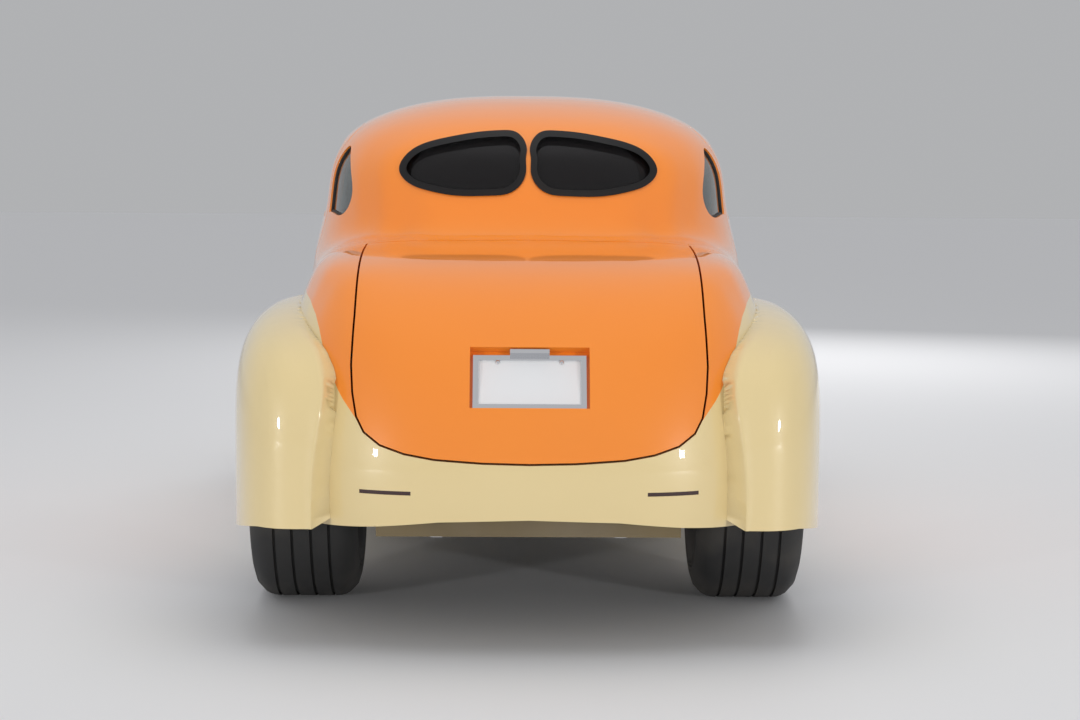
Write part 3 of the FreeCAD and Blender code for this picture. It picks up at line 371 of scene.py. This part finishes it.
def edge_bead(node, name, body, middle):
    """A rubber bead along the outer edge of a pane, pulled from the pane's own mesh."""
    bead = merged_copy(node, name)
    mesh = bmesh.new()
    mesh.from_mesh(bead.data)
    kept = set()
    for edge in mesh.edges:
        if len(edge.link_faces) == 2 and edge.calc_face_angle() > BEAD_CREASE:
            away = (edge.verts[0].co + edge.verts[1].co) / 2 - Vector(middle)
            facing = max(face.normal.dot(away.normalized()) for face in edge.link_faces)
            if facing > BEAD_FACING:
                kept.add(edge)
    bmesh.ops.delete(mesh, geom=mesh.faces[:], context="FACES_ONLY")
    bmesh.ops.delete(mesh, geom=[e for e in mesh.edges if e not in kept], context="EDGES")
    mesh.to_mesh(bead.data)
    mesh.free()
    bpy.ops.object.convert(target="CURVE")
    bead.data.bevel_depth = BEAD_RADIUS
    bead.data.bevel_resolution = 2
    bpy.ops.object.convert(target="MESH")
    bpy.ops.object.shade_smooth()
    bead.data.materials.clear()
    bead.data.materials.append(rubber)
    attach(bead, body)


edge_bead("windshield", "windshield_bead", "car", (0, -0.2, 1.2))
edge_bead("quarter_glass", "quarter_beads", "car", (0, -0.8, 1.1))
edge_bead("door_glass_left", "door_bead_left", "door_left_panel", (0, -0.1, 1.1))
edge_bead("door_glass_right", "door_bead_right", "door_right_panel", (0, -0.1, 1.1))

# The tyres.
# Wide black radials on the back, narrower ones on the front: moulded rubber with two pairs of
# grooves round the tread, blocks cut across its shoulders, and ribs on the side wall.

TREAD_PITCHES = 54
STEPS_IN_PITCH = 4
SHOULDER_OFF_TREAD = 0.45
INNER_GROOVE = 0.22
OUTER_GROOVE = 0.64
TREAD_DEPTH = 0.008
GROOVE_WIDTH = 0.009
SHOULDER = 0.074
tyre_rubber = finish("tyre_rubber", (0.020, 0.020, 0.021), (0.032, 0.031, 0.030), 0.72, 0.22, 700,
                     0.0004, 9.0)


def crown_radius(across, half, radius):
    """The radius of the tread at a distance from its middle."""
    past = min(max(abs(across) - (half - SHOULDER), 0) / SHOULDER, 1)
    return radius - SHOULDER * (1 - math.sqrt(1 - past * past))


def tyre_section(half, radius, rim):
    """One side of the section, from the middle of the tread down to the bead."""
    tread = half - SHOULDER_OFF_TREAD * SHOULDER
    points = [(0.0, 0.0)]
    for place in (INNER_GROOVE, OUTER_GROOVE):
        middle = tread * place
        points += [(middle - GROOVE_WIDTH / 2, 0.0), (middle - GROOVE_WIDTH / 2, TREAD_DEPTH),
                   (middle + GROOVE_WIDTH / 2, TREAD_DEPTH), (middle + GROOVE_WIDTH / 2, 0.0)]
    section = [(across, crown_radius(across, half, radius) - drop) for across, drop in points]
    for step in (0.80, 0.90, 1.0):
        across = tread * step
        section.append((across, crown_radius(across, half, radius)))
    wall_top = radius - SHOULDER
    section += [
        (half - 0.010, crown_radius(half - 0.010, half, radius)), (half - 0.002, wall_top + 0.012),
        (half, wall_top), (half, wall_top - 0.010), (half - 0.003, wall_top - 0.012),
        (half - 0.003, wall_top - 0.022), (half, wall_top - 0.024), (half, rim + 0.045),
        (half * 0.95, rim + 0.022), (half * 0.87, rim + 0.010), (half * 0.85, rim + 0.001),
    ]
    return section


def treaded_tyre(end, side):
    """A tyre spun from its section, with its blocks cut in."""
    node = "tyre_%s_%s" % (end, side)
    low, high = (Vector(corner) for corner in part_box(node))
    middle = (low + high) / 2
    half = (high.x - low.x) / 2
    radius = (high.z - low.z) / 2
    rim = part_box("rim_%s_%s" % (end, side))
    rim = (rim[1][2] - rim[0][2]) / 2
    section = tyre_section(half, radius, rim)
    ring = [(-across, up) for across, up in reversed(section)] + section[1:]
    deselect()
    bpy.ops.mesh.primitive_circle_add(vertices=len(ring), radius=radius, fill_type="NOTHING",
                                      location=middle)
    tyre = bpy.context.object
    tyre.name = "treaded_" + node
    for vertex, (across, up) in zip(tyre.data.vertices, ring):
        vertex.co = (across, 0, up)
    bpy.ops.object.transform_apply(location=True, rotation=True, scale=True)
    bpy.ops.object.mode_set(mode="EDIT")
    bpy.ops.mesh.select_all(action="SELECT")
    steps = TREAD_PITCHES * STEPS_IN_PITCH
    bpy.ops.mesh.spin(steps=steps, angle=2 * math.pi, center=middle, axis=(1, 0, 0))
    bpy.ops.mesh.select_all(action="SELECT")
    bpy.ops.mesh.remove_doubles(threshold=0.0001)
    bpy.ops.mesh.normals_make_consistent(inside=False)
    bpy.ops.object.mode_set(mode="OBJECT")
    tread = half - SHOULDER_OFF_TREAD * SHOULDER
    for face in tyre.data.polygons:
        away = face.center - middle
        across = abs(away.x)
        step = int(round(math.atan2(away.z, away.y) / (2 * math.pi) * steps - 0.5))
        on_crown = away.yz.length > radius - SHOULDER * 0.8
        outer = tread * OUTER_GROOVE
        shoulder = on_crown and outer + GROOVE_WIDTH / 2 < across < half - 0.006
        rib = tread * INNER_GROOVE + GROOVE_WIDTH / 2 < across < outer - GROOVE_WIDTH / 2
        place = step % STEPS_IN_PITCH
        face.select = (shoulder and place == 0) or (rib and place == 2)
    bpy.ops.object.mode_set(mode="EDIT")
    bpy.ops.mesh.extrude_region_move()
    bpy.ops.object.mode_set(mode="OBJECT")
    for vertex in tyre.data.vertices:
        if vertex.select:
            away = vertex.co - middle
            outward = Vector((0, away.y, away.z)).normalized()
            vertex.co -= outward * TREAD_DEPTH * 0.85
    bpy.ops.object.shade_smooth_by_angle(angle=math.radians(32))
    tyre.data.materials.append(tyre_rubber)
    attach(tyre, "wheel_%s_%s" % (end, side))
    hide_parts(node)


for end in ("rear", "front"):
    for side in ("left", "right"):
        treaded_tyre(end, side)

# The wheels.
# Steel wheels, chrome plated, each held by five domed nuts round its hub cap, with a rubber
# valve stem near the rim.

NUT_COUNT = 5
NUT_CIRCLE = 0.097
NUT_RADIUS = 0.0095
NUT_LENGTH = 0.022
VALVE_IN = 0.026
REAR_FACE_DEPTH = 0.022
FRONT_FACE_DEPTH = 0.032

chrome = finish("chrome", (0.80, 0.80, 0.82), (0.74, 0.75, 0.77), 0.06, 0.04, 60, 0.00003,
                plain={"Metallic": 1.0})
dress(["rim_rear_left", "rim_rear_right", "rim_front_left", "rim_front_right"], chrome)


def joined(pieces, name):
    """Several meshes made one, under one name."""
    deselect()
    for piece in pieces:
        piece.select_set(True)
    bpy.context.view_layer.objects.active = pieces[0]
    if len(pieces) > 1:
        bpy.ops.object.join()
    whole = bpy.context.view_layer.objects.active
    whole.name = name
    return whole


def select_faces(piece, choose):
    """Leave only the faces selected that a rule picks by their place or normal."""
    for face in piece.data.polygons:
        face.select = choose(face)
    for edge in piece.data.edges:
        edge.select = False
    for vertex in piece.data.vertices:
        vertex.select = False
    for face in piece.data.polygons:
        if face.select:
            for index in face.vertices:
                piece.data.vertices[index].select = True


def edges_rounded(piece, width, segments):
    """Bevel a piece's sharp edges."""
    bevel = piece.modifiers.new("rounded", "BEVEL")
    bevel.width = width
    bevel.segments = segments
    bpy.ops.object.modifier_apply(modifier="rounded")


def settle(piece, material, body):
    """Put a finished piece's place in its mesh, and give it its finish and its body."""
    pick(piece)
    bpy.ops.object.transform_apply(location=True, rotation=True, scale=True)
    piece.data.materials.clear()
    piece.data.materials.append(material)
    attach(piece, body)


def wheel_nuts(end, side, face_depth):
    """The five nuts and the valve of one wheel."""
    outward = 1 if side == "right" else -1
    low, high = (Vector(corner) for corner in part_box("tyre_%s_%s" % (end, side)))
    middle = (low + high) / 2
    base = middle.x + outward * face_depth
    nuts = []
    for count in range(NUT_COUNT):
        deselect()
        bpy.ops.mesh.primitive_cylinder_add(
            vertices=6, radius=NUT_RADIUS, depth=NUT_LENGTH,
            location=(base + outward * 0.009, middle.y, middle.z + NUT_CIRCLE),
            rotation=(0, outward * math.pi / 2, 0))
        nut = bpy.context.object
        bpy.ops.object.transform_apply(location=True, rotation=True, scale=True)
        select_faces(nut, lambda face: face.normal.x * outward > 0.9)
        bpy.ops.object.mode_set(mode="EDIT")
        bpy.ops.mesh.inset(thickness=0.002)
        bpy.ops.mesh.extrude_region_move(
            TRANSFORM_OT_translate={"value": (outward * 0.006, 0, 0)})
        bpy.ops.transform.resize(value=(1, 0.6, 0.6))
        bpy.ops.object.mode_set(mode="OBJECT")
        edges_rounded(nut, 0.0012, 2)
        nuts.append(nut)
        around = Matrix.Rotation(2 * math.pi * (count + 0.5) / NUT_COUNT, 4, "X")
        nut.data.transform(Matrix.Translation(middle) @ around @ Matrix.Translation(-middle))
    nuts = joined(nuts, "nuts_%s_%s" % (end, side))
    bpy.ops.object.shade_smooth_by_angle(angle=math.radians(35))
    settle(nuts, chrome, "wheel_%s_%s" % (end, side))

    rim_low, rim_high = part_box("rim_%s_%s" % (end, side))
    rim = (rim_high[2] - rim_low[2]) / 2
    lip = rim_high[0] if outward > 0 else rim_low[0]
    deselect()
    bpy.ops.mesh.primitive_cone_add(
        vertices=16, radius1=0.007, radius2=0.004, depth=0.034,
        location=(lip - outward * VALVE_IN, middle.y + rim - VALVE_IN, middle.z),
        rotation=(0, outward * math.pi / 2, 0))
    valve = bpy.context.object
    valve.name = "valve_%s_%s" % (end, side)
    bpy.ops.object.transform_apply(location=True, rotation=True, scale=True)
    select_faces(valve, lambda face: face.normal.x * outward > 0.9)
    bpy.ops.object.mode_set(mode="EDIT")
    bpy.ops.mesh.inset(thickness=0.001)
    bpy.ops.mesh.extrude_region_move(TRANSFORM_OT_translate={"value": (outward * 0.008, 0, 0)})
    bpy.ops.object.mode_set(mode="OBJECT")
    bpy.ops.object.shade_smooth_by_angle(angle=math.radians(40))
    settle(valve, rubber, "wheel_%s_%s" % (end, side))


for side in ("left", "right"):
    wheel_nuts("rear", side, REAR_FACE_DEPTH)
    wheel_nuts("front", side, FRONT_FACE_DEPTH)

# The plate and its frame.
# A blank pressed plate in a slim chrome frame, held by two domed bolts, with a small lamp on
# the frame's top edge. It leans in a recess of the lid, and its middle is the pressing's middle.

PLATE_MIDDLE = Vector((0, -2.036, 0.764))
PLATE_LEAN = math.radians(-30)
PLATE_BOLTS = (-0.089, 0.089)
PLATE_BOLT_UP = 0.062
PLATE_BOLT_RADIUS = 0.0065
PLATE_FRONT = -0.002
BORDER_WIDTH = 0.280
BORDER_HEIGHT = 0.128
BORDER_LINE = 0.0022
BORDER_RELIEF = 0.0012

plate_white = finish("plate_white", (0.80, 0.81, 0.82), (0.77, 0.78, 0.79), 0.30, 0.03, 400,
                     0.00005, plain={"Coat Weight": 0.4, "Coat Roughness": 0.1})
dress(["licence_plate"], plate_white)
dress(["plate_frame"], chrome)
on_plate = Matrix.Translation(PLATE_MIDDLE) @ Matrix.Rotation(PLATE_LEAN, 4, "X")
for side, across in zip(("left", "right"), PLATE_BOLTS):
    deselect()
    bpy.ops.mesh.primitive_uv_sphere_add(segments=24, ring_count=12, radius=PLATE_BOLT_RADIUS)
    bolt = bpy.context.object
    bolt.name = "plate_bolt_" + side
    bpy.ops.object.mode_set(mode="EDIT")
    bpy.ops.mesh.select_all(action="SELECT")
    bpy.ops.mesh.bisect(plane_co=(0, 0, 0), plane_no=(0, 1, 0), clear_outer=True, use_fill=True)
    bpy.ops.mesh.select_all(action="SELECT")
    bpy.ops.transform.resize(value=(1, 0.6, 1))
    bpy.ops.object.mode_set(mode="OBJECT")
    bpy.ops.object.shade_smooth_by_angle(angle=math.radians(40))
    bolt.data.transform(on_plate @ Matrix.Translation((across, PLATE_FRONT, PLATE_BOLT_UP)))
    settle(bolt, chrome, "lid")
deselect()
bpy.ops.mesh.primitive_plane_add(size=1)
border = bpy.context.object
border.name = "plate_border"
bpy.ops.object.mode_set(mode="EDIT")
bpy.ops.mesh.select_all(action="SELECT")
bpy.ops.transform.resize(value=(BORDER_WIDTH, BORDER_HEIGHT, 1))
bpy.ops.mesh.inset(thickness=BORDER_LINE)
bpy.ops.mesh.delete(type="FACE")
bpy.ops.mesh.select_all(action="SELECT")
bpy.ops.mesh.extrude_region_move(TRANSFORM_OT_translate={"value": (0, 0, BORDER_RELIEF)})
bpy.ops.mesh.select_all(action="SELECT")
bpy.ops.mesh.normals_make_consistent(inside=False)
bpy.ops.object.mode_set(mode="OBJECT")
upright = Matrix.Rotation(math.pi / 2, 4, "X")
border.data.transform(on_plate @ Matrix.Translation((0, PLATE_FRONT, 0)) @ upright)
settle(border, plate_white, "lid")

# The lamps.
# Two slit tail lamps of dark red moulded plastic, flush in the roll pan, and two sealed round
# headlamps with fluted lenses, let into the front fenders.

WAVE_PERIOD = 0.314


def fluted(name, colour, roughness, pitch, depth, plain):
    """A finish with upright moulded flutes."""
    material = finish(name, colour, colour, roughness, plain=plain)
    nodes, links = material.node_tree.nodes, material.node_tree.links
    where = nodes.new("ShaderNodeTexCoord")
    flutes = nodes.new("ShaderNodeTexWave")
    flutes.wave_type = "BANDS"
    flutes.bands_direction = "X"
    flutes.inputs["Scale"].default_value = WAVE_PERIOD / pitch
    links.new(where.outputs["Object"], flutes.inputs["Vector"])
    bump = nodes.new("ShaderNodeBump")
    bump.inputs["Distance"].default_value = depth
    links.new(flutes.outputs["Fac"], bump.inputs["Height"])
    links.new(bump.outputs["Normal"], nodes["Principled BSDF"].inputs["Normal"])
    return material


red_lens = fluted("tail_lens", (0.035, 0.005, 0.003), 0.22, 0.006, 0.0006,
                  {"Coat Weight": 0.6, "Coat Roughness": 0.05})
lamp_lens = fluted("headlamp_lens", (0.62, 0.65, 0.68), 0.10, 0.014, 0.0012,
                   {"Coat Weight": 1.0, "Coat Roughness": 0.02, "Metallic": 0.35})
dress(["tail_lamps"], red_lens)
dress(["headlamps"], lamp_lens)

# The fuel tank.
# A folded and welded steel tank across the tail, below the roll pan, in the fenders' cream darkened
# to a dull olive as painted shade under the pan, with drifts of road dust, held up by two chromed
# straps that turn up at their front ends.

STRAP_ACROSS = 0.26
STRAP_WIDTH = 0.032
STRAP_THICKNESS = 0.004
STRAP_SHORT_OF_TANK = 0.02

# The tank's base colours are the cream darkened to olive: painted shade under the roll pan; the
# dust drifts on it are real road dust.
painted_shade_and_dust_cream = finish("cream_painted_shade_and_dust", (0.20, 0.145, 0.060), (0.13, 0.095, 0.042), 0.55, 0.35, 220,
                   0.0002, 5.0, {"Coat Weight": 0.3, "Coat Roughness": 0.2})
dress(["fuel_tank"], painted_shade_and_dust_cream)
tank_low, tank_high = (Vector(corner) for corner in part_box("fuel_tank"))
for side, across in (("left", -STRAP_ACROSS), ("right", STRAP_ACROSS)):
    deselect()
    bpy.ops.mesh.primitive_cube_add(size=1, location=(
        across, (tank_low.y + tank_high.y) / 2, tank_low.z - 0.001))
    strap = bpy.context.object
    strap.name = "tank_strap_" + side
    strap.scale = (STRAP_WIDTH, tank_high.y - tank_low.y - STRAP_SHORT_OF_TANK, STRAP_THICKNESS)
    bpy.ops.object.transform_apply(location=True, rotation=True, scale=True)
    select_faces(strap, lambda face: face.normal.y > 0.9)
    bpy.ops.object.mode_set(mode="EDIT")
    bpy.ops.mesh.extrude_region_move(TRANSFORM_OT_translate={"value": (0, 0.012, 0)})
    bpy.ops.mesh.extrude_region_move(TRANSFORM_OT_translate={"value": (0, 0.002, 0.03)})
    bpy.ops.object.mode_set(mode="OBJECT")
    edges_rounded(strap, 0.001, 2)
    settle(strap, chrome, "car")

# The grille and the radiator.
# Chromed bars in one casting behind the two openings of the nose, and behind them a black
# radiator core.

satin_black = finish("satin_black", (0.018, 0.018, 0.019), (0.028, 0.027, 0.026), 0.42, 0.25, 300,
                     0.0002, 6.0, {"Coat Weight": 0.2, "Coat Roughness": 0.3})
dress(["grille"], chrome)
dress(["radiator", "chassis_frame", "driveshaft", "rear_axle", "rear_springs", "front_axle",
       "front_spring", "knuckle_left", "knuckle_right", "tie_rod", "wheel_tubs", "firewall"],
      satin_black)

# The engine.
# A cast-iron engine and gearbox, painted grey, with two ribbed chrome rocker covers and a round
# chrome air cleaner on its top.

ROCKER_ACROSS = 0.175
ROCKER_LENGTH = 0.46
ROCKER_FINS = 9
FIN_PITCH = 0.0095
AIR_CLEANER_RADIUS = 0.15
LID_STEPS = ((0.012, 0.008), (0.10, 0.010), (0.022, 0.014))
FOOT_STEPS = ((0.012, -0.036), (0.07, -0.030))

cast_iron = finish("cast_iron", (0.14, 0.15, 0.155), (0.19, 0.19, 0.185), 0.55, 0.3, 260, 0.0012,
                   8.0, {"Metallic": 0.4})
dress(["engine"], cast_iron)
ENGINE_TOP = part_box("engine")[1][2]
ENGINE_MIDDLE = 0.98
for side, across in (("left", -ROCKER_ACROSS), ("right", ROCKER_ACROSS)):
    deselect()
    bpy.ops.mesh.primitive_cube_add(size=1, location=(across, ENGINE_MIDDLE, ENGINE_TOP + 0.018))
    cover = bpy.context.object
    cover.scale = (0.13, ROCKER_LENGTH, 0.04)
    bpy.ops.object.transform_apply(location=True, rotation=True, scale=True)
    select_faces(cover, lambda face: face.normal.z > 0.9)
    bpy.ops.object.mode_set(mode="EDIT")
    bpy.ops.mesh.extrude_region_move(TRANSFORM_OT_translate={"value": (0, 0, 0.012)})
    bpy.ops.transform.resize(value=(0.72, 0.93, 1))
    bpy.ops.object.mode_set(mode="OBJECT")
    fins = [cover]
    for count in range(ROCKER_FINS):
        deselect()
        bpy.ops.mesh.primitive_cube_add(size=1, location=(
            across + (count - (ROCKER_FINS - 1) / 2) * FIN_PITCH, ENGINE_MIDDLE,
            ENGINE_TOP + 0.052))
        fin = bpy.context.object
        fin.scale = (0.003, ROCKER_LENGTH * 0.86, 0.008)
        bpy.ops.object.transform_apply(location=True, rotation=True, scale=True)
        fins.append(fin)
    cover = joined(fins, "rocker_cover_" + side)
    edges_rounded(cover, 0.0012, 2)
    bpy.ops.object.shade_smooth_by_angle(angle=math.radians(35))
    settle(cover, chrome, "car")
deselect()
bpy.ops.mesh.primitive_cylinder_add(vertices=64, radius=AIR_CLEANER_RADIUS, depth=0.012,
                                    location=(0, ENGINE_MIDDLE, ENGINE_TOP + 0.062))
air_cleaner = bpy.context.object
air_cleaner.name = "air_cleaner"
bpy.ops.object.transform_apply(location=True, rotation=True, scale=True)
for upward, profile in ((1, LID_STEPS), (-1, FOOT_STEPS)):
    select_faces(air_cleaner, lambda face: face.normal.z * upward > 0.9)
    bpy.ops.object.mode_set(mode="EDIT")
    for inset, rise in profile:
        bpy.ops.mesh.inset(thickness=inset)
        bpy.ops.mesh.extrude_region_move(TRANSFORM_OT_translate={"value": (0, 0, rise)})
    bpy.ops.object.mode_set(mode="OBJECT")
edges_rounded(air_cleaner, 0.003, 3)
bpy.ops.object.shade_smooth_by_angle(angle=math.radians(35))
settle(air_cleaner, chrome, "car")

# The running boards.
# Pressed steel boards in the fenders' cream, each with a mat of nine moulded rubber ribs.

MAT_RIBS = 9
RIB_PITCH = 0.009
FIRST_RIB_ACROSS = 0.762
MAT_SHORT_OF_BOARD = 0.05
board_low, board_high = (Vector(corner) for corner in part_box("running_boards"))
for side, outward in (("left", -1), ("right", 1)):
    ribs = []
    for count in range(MAT_RIBS):
        deselect()
        bpy.ops.mesh.primitive_cube_add(size=1, location=(
            outward * (FIRST_RIB_ACROSS + count * RIB_PITCH), (board_low.y + board_high.y) / 2,
            board_high.z + 0.0012))
        rib = bpy.context.object
        rib.scale = (0.005, board_high.y - board_low.y - MAT_SHORT_OF_BOARD, 0.0036)
        bpy.ops.object.transform_apply(location=True, rotation=True, scale=True)
        edges_rounded(rib, 0.0016, 2)
        ribs.append(rib)
    mat = joined(ribs, "board_mat_" + side)
    bpy.ops.object.shade_smooth_by_angle(angle=math.radians(40))
    settle(mat, rubber, "car")

# The cabin's floor and dashboard.
# Looped dark carpet on the floor; a painted steel dashboard with two large and three small dials
# in chrome rings, black faces, and pale marks and needles.

DASH_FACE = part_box("dashboard")[0][1]
DIAL_MARKS = 13
FIRST_MARK = -135
MARK_STEP = 22.5
DIALS = (
    ("speed", -0.435, 0.972, 0.048), ("revs", -0.285, 0.972, 0.048), ("fuel", -0.10, 0.975, 0.028),
    ("heat", 0.0, 0.975, 0.028), ("oil", 0.10, 0.975, 0.028),
)

carpet = finish("loop_carpet", (0.035, 0.028, 0.023), (0.055, 0.043, 0.034), 0.95, 0.2, 800, 0.003,
                40.0, {"Sheen Weight": 0.3})
dial_black = finish("dial_black", (0.012, 0.012, 0.013), (0.016, 0.016, 0.017), 0.35, 0.02, 500,
                    0.00005, plain={"Coat Weight": 1.0, "Coat Roughness": 0.02})
mark_white = finish("mark_white", (0.75, 0.73, 0.66), (0.70, 0.68, 0.60), 0.5)
dress(["floor"], carpet)
dress(["dashboard"], orange)


def dial(name, across, height, radius):
    """A ring, a face, its marks and its needle."""
    deselect()
    bpy.ops.mesh.primitive_cylinder_add(vertices=48, radius=radius, depth=0.014,
                                        location=(across, DASH_FACE - 0.003, height),
                                        rotation=(math.pi / 2, 0, 0))
    ring = bpy.context.object
    bpy.ops.object.transform_apply(location=True, rotation=True, scale=True)
    select_faces(ring, lambda face: face.normal.y < -0.9)
    bpy.ops.object.mode_set(mode="EDIT")
    bpy.ops.mesh.inset(thickness=0.0035)
    bpy.ops.mesh.extrude_region_move(TRANSFORM_OT_translate={"value": (0, 0.005, 0)})
    bpy.ops.mesh.separate(type="SELECTED")
    bpy.ops.object.mode_set(mode="OBJECT")
    face = next(obj for obj in bpy.context.selected_objects if obj != ring)
    pick(ring)
    ring.name = "dial_ring_" + name
    bpy.ops.object.shade_smooth_by_angle(angle=math.radians(35))
    settle(ring, chrome, "car")
    face.name = "dial_face_" + name
    settle(face, dial_black, "car")
    marks = []
    reach = radius * 0.78
    for count in range(DIAL_MARKS):
        angle = math.radians(FIRST_MARK + count * MARK_STEP)
        long_mark = count % 3 == 0
        deselect()
        bpy.ops.mesh.primitive_cube_add(size=1, location=(
            across + reach * math.sin(angle), DASH_FACE - 0.0055, height + reach * math.cos(angle)))
        mark = bpy.context.object
        mark.scale = (0.0012, 0.0006, 0.007 if long_mark else 0.004)
        mark.rotation_euler = (0, angle, 0)
        bpy.ops.object.transform_apply(location=True, rotation=True, scale=True)
        marks.append(mark)
    deselect()
    bpy.ops.mesh.primitive_cone_add(
        vertices=4, radius1=0.0022, radius2=0.0006, depth=radius * 0.9,
        location=(across - radius * 0.25, DASH_FACE - 0.0065, height + radius * 0.25),
        rotation=(0, math.radians(-45), 0))
    needle = bpy.context.object
    bpy.ops.object.transform_apply(location=True, rotation=True, scale=True)
    marks.append(needle)
    marks = joined(marks, "dial_marks_" + name)
    settle(marks, mark_white, "car")


for dial_sizes in DIALS:
    dial(*dial_sizes)

# The steering wheel and the gear lever.
# A wheel moulded in dark brown plastic on a chromed column, with a chrome horn button, and a bent
# chrome lever with a ball knob on the gearbox hump.

HELM_HUB = Vector((-0.36, 0.22, 0.93))
HELM_AXIS = Vector((0, -0.88, 0.475)).normalized()
BUTTON_OUT = 0.0098
LEVER_RADIUS = 0.0065
LEVER_ROUTE = ((0, 0.32, 0.42), (0, 0.32, 0.50), (0, 0.25, 0.60), (0, 0.21, 0.68), (0, 0.20, 0.72))
KNOB_PLACE = (0, 0.20, 0.738)

helm_brown = finish("helm_brown", (0.030, 0.016, 0.010), (0.045, 0.022, 0.013), 0.28, 0.03, 120,
                    0.0002, 9.0, {"Coat Weight": 0.5, "Coat Roughness": 0.08})
dress(["steering_wheel"], helm_brown)
dress(["steering_column"], chrome)
deselect()
bpy.ops.mesh.primitive_uv_sphere_add(segments=32, ring_count=16, radius=0.026)
button = bpy.context.object
button.name = "horn_button"
bpy.ops.object.mode_set(mode="EDIT")
bpy.ops.mesh.select_all(action="SELECT")
bpy.ops.mesh.bisect(plane_co=(0, 0, 0), plane_no=(0, 0, 1), clear_inner=True, use_fill=True)
bpy.ops.mesh.select_all(action="SELECT")
bpy.ops.transform.resize(value=(1, 1, 0.45))
bpy.ops.object.mode_set(mode="OBJECT")
bpy.ops.object.shade_smooth_by_angle(angle=math.radians(40))
facing = HELM_AXIS.to_track_quat("Z", "Y").to_matrix().to_4x4()
button.data.transform(Matrix.Translation(HELM_HUB + HELM_AXIS * BUTTON_OUT) @ facing)
settle(button, chrome, "helm")

lever_data = bpy.data.curves.new("gear_lever", "CURVE")
lever_data.dimensions = "3D"
lever_data.bevel_depth = LEVER_RADIUS
lever_data.bevel_resolution = 3
route = lever_data.splines.new("NURBS")
route.points.add(len(LEVER_ROUTE) - 1)
for point, place in zip(route.points, LEVER_ROUTE):
    point.co = (*place, 1)
route.order_u = 3
route.use_endpoint_u = True
lever = bpy.data.objects.new("gear_lever", lever_data)
bpy.context.scene.collection.objects.link(lever)
pick(lever)
bpy.ops.object.convert(target="MESH")
bpy.ops.object.shade_smooth()
settle(lever, chrome, "car")
deselect()
bpy.ops.mesh.primitive_uv_sphere_add(segments=24, ring_count=16, radius=0.024,
                                     location=KNOB_PLACE)
knob = bpy.context.object
knob.name = "gear_knob"
bpy.ops.object.mode_set(mode="EDIT")
bpy.ops.mesh.select_all(action="SELECT")
bpy.ops.transform.resize(value=(1, 1, 1.15), center_override=KNOB_PLACE)
bpy.ops.object.mode_set(mode="OBJECT")
bpy.ops.object.shade_smooth()
settle(knob, helm_brown, "car")

# The bench seat.
# Foam cushions in tan leather, swollen against their covers, with sewn upright channels. The
# swelling is simulated as cloth under pressure, and the channels are sewn in after it.

CHANNEL_PITCH = 0.093
CHANNEL_DEPTH = 0.010
CUSHION_VOXEL = 0.014
SWELL_CAP = 0.014
SWELL_STEPS = 20
SEAM_WIDTH = 0.009

leather = finish("tan_leather", (0.42, 0.27, 0.14), (0.36, 0.225, 0.115), 0.46, 0.03, 520, 0.0009,
                 5.0, {"Sheen Weight": 0.08, "Specular IOR Level": 0.4})


def swollen_cushion(name, low, high, lean, sewn_axis):
    """A cushion that starts as a small block, swells, and is then sewn in channels."""
    low, high = Vector(low), Vector(high)
    deselect()
    bpy.ops.mesh.primitive_cube_add(size=1, location=(low + high) / 2)
    cushion = bpy.context.object
    cushion.name = name
    cushion.scale = high - low
    bpy.ops.object.transform_apply(location=True, rotation=True, scale=True)
    edges_rounded(cushion, 0.045, 5)
    for vertex in cushion.data.vertices:
        vertex.co.y += (vertex.co.z - low.z) * lean
    voxels = cushion.modifiers.new("voxels", "REMESH")
    voxels.mode = "VOXEL"
    voxels.voxel_size = CUSHION_VOXEL
    bpy.ops.object.modifier_apply(modifier="voxels")
    before = [vertex.co.copy() for vertex in cushion.data.vertices]
    cloth = cushion.modifiers.new("swell", "CLOTH")
    cloth.settings.use_pressure = True
    cloth.settings.uniform_pressure_force = 4
    cloth.settings.effector_weights.gravity = 0
    for step in range(1, SWELL_STEPS + 1):
        bpy.context.scene.frame_set(step)
    bpy.ops.object.modifier_apply(modifier="swell")
    bpy.context.scene.frame_set(1)
    for vertex, start in zip(cushion.data.vertices, before):
        move = vertex.co - start
        if move.length > SWELL_CAP:
            vertex.co = start + move.normalized() * SWELL_CAP
    finer = cushion.modifiers.new("finer", "SUBSURF")
    finer.levels = 1
    finer.render_levels = 1
    bpy.ops.object.modifier_apply(modifier="finer")
    facing_out = [vertex.normal.copy() for vertex in cushion.data.vertices]
    for vertex, normal in zip(cushion.data.vertices, facing_out):
        if normal[sewn_axis] > 0.5:
            off = abs((vertex.co.x / CHANNEL_PITCH) % 1 - 0.5) * CHANNEL_PITCH
            dip = CHANNEL_DEPTH * math.exp(-((off / SEAM_WIDTH) ** 2))
            vertex.co -= normal * dip
    bpy.ops.object.shade_smooth()
    settle(cushion, leather, "car")
    return cushion


squab = swollen_cushion("seat_squab", (-0.545, -0.468, 0.428), (0.545, 0.008, 0.626), 0.0, 2)
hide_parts("bench_seat")
seat_back = swollen_cushion("seat_back", (-0.545, -0.478, 0.655), (0.545, -0.352, 1.066), -0.29, 1)
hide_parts("bench_seat")
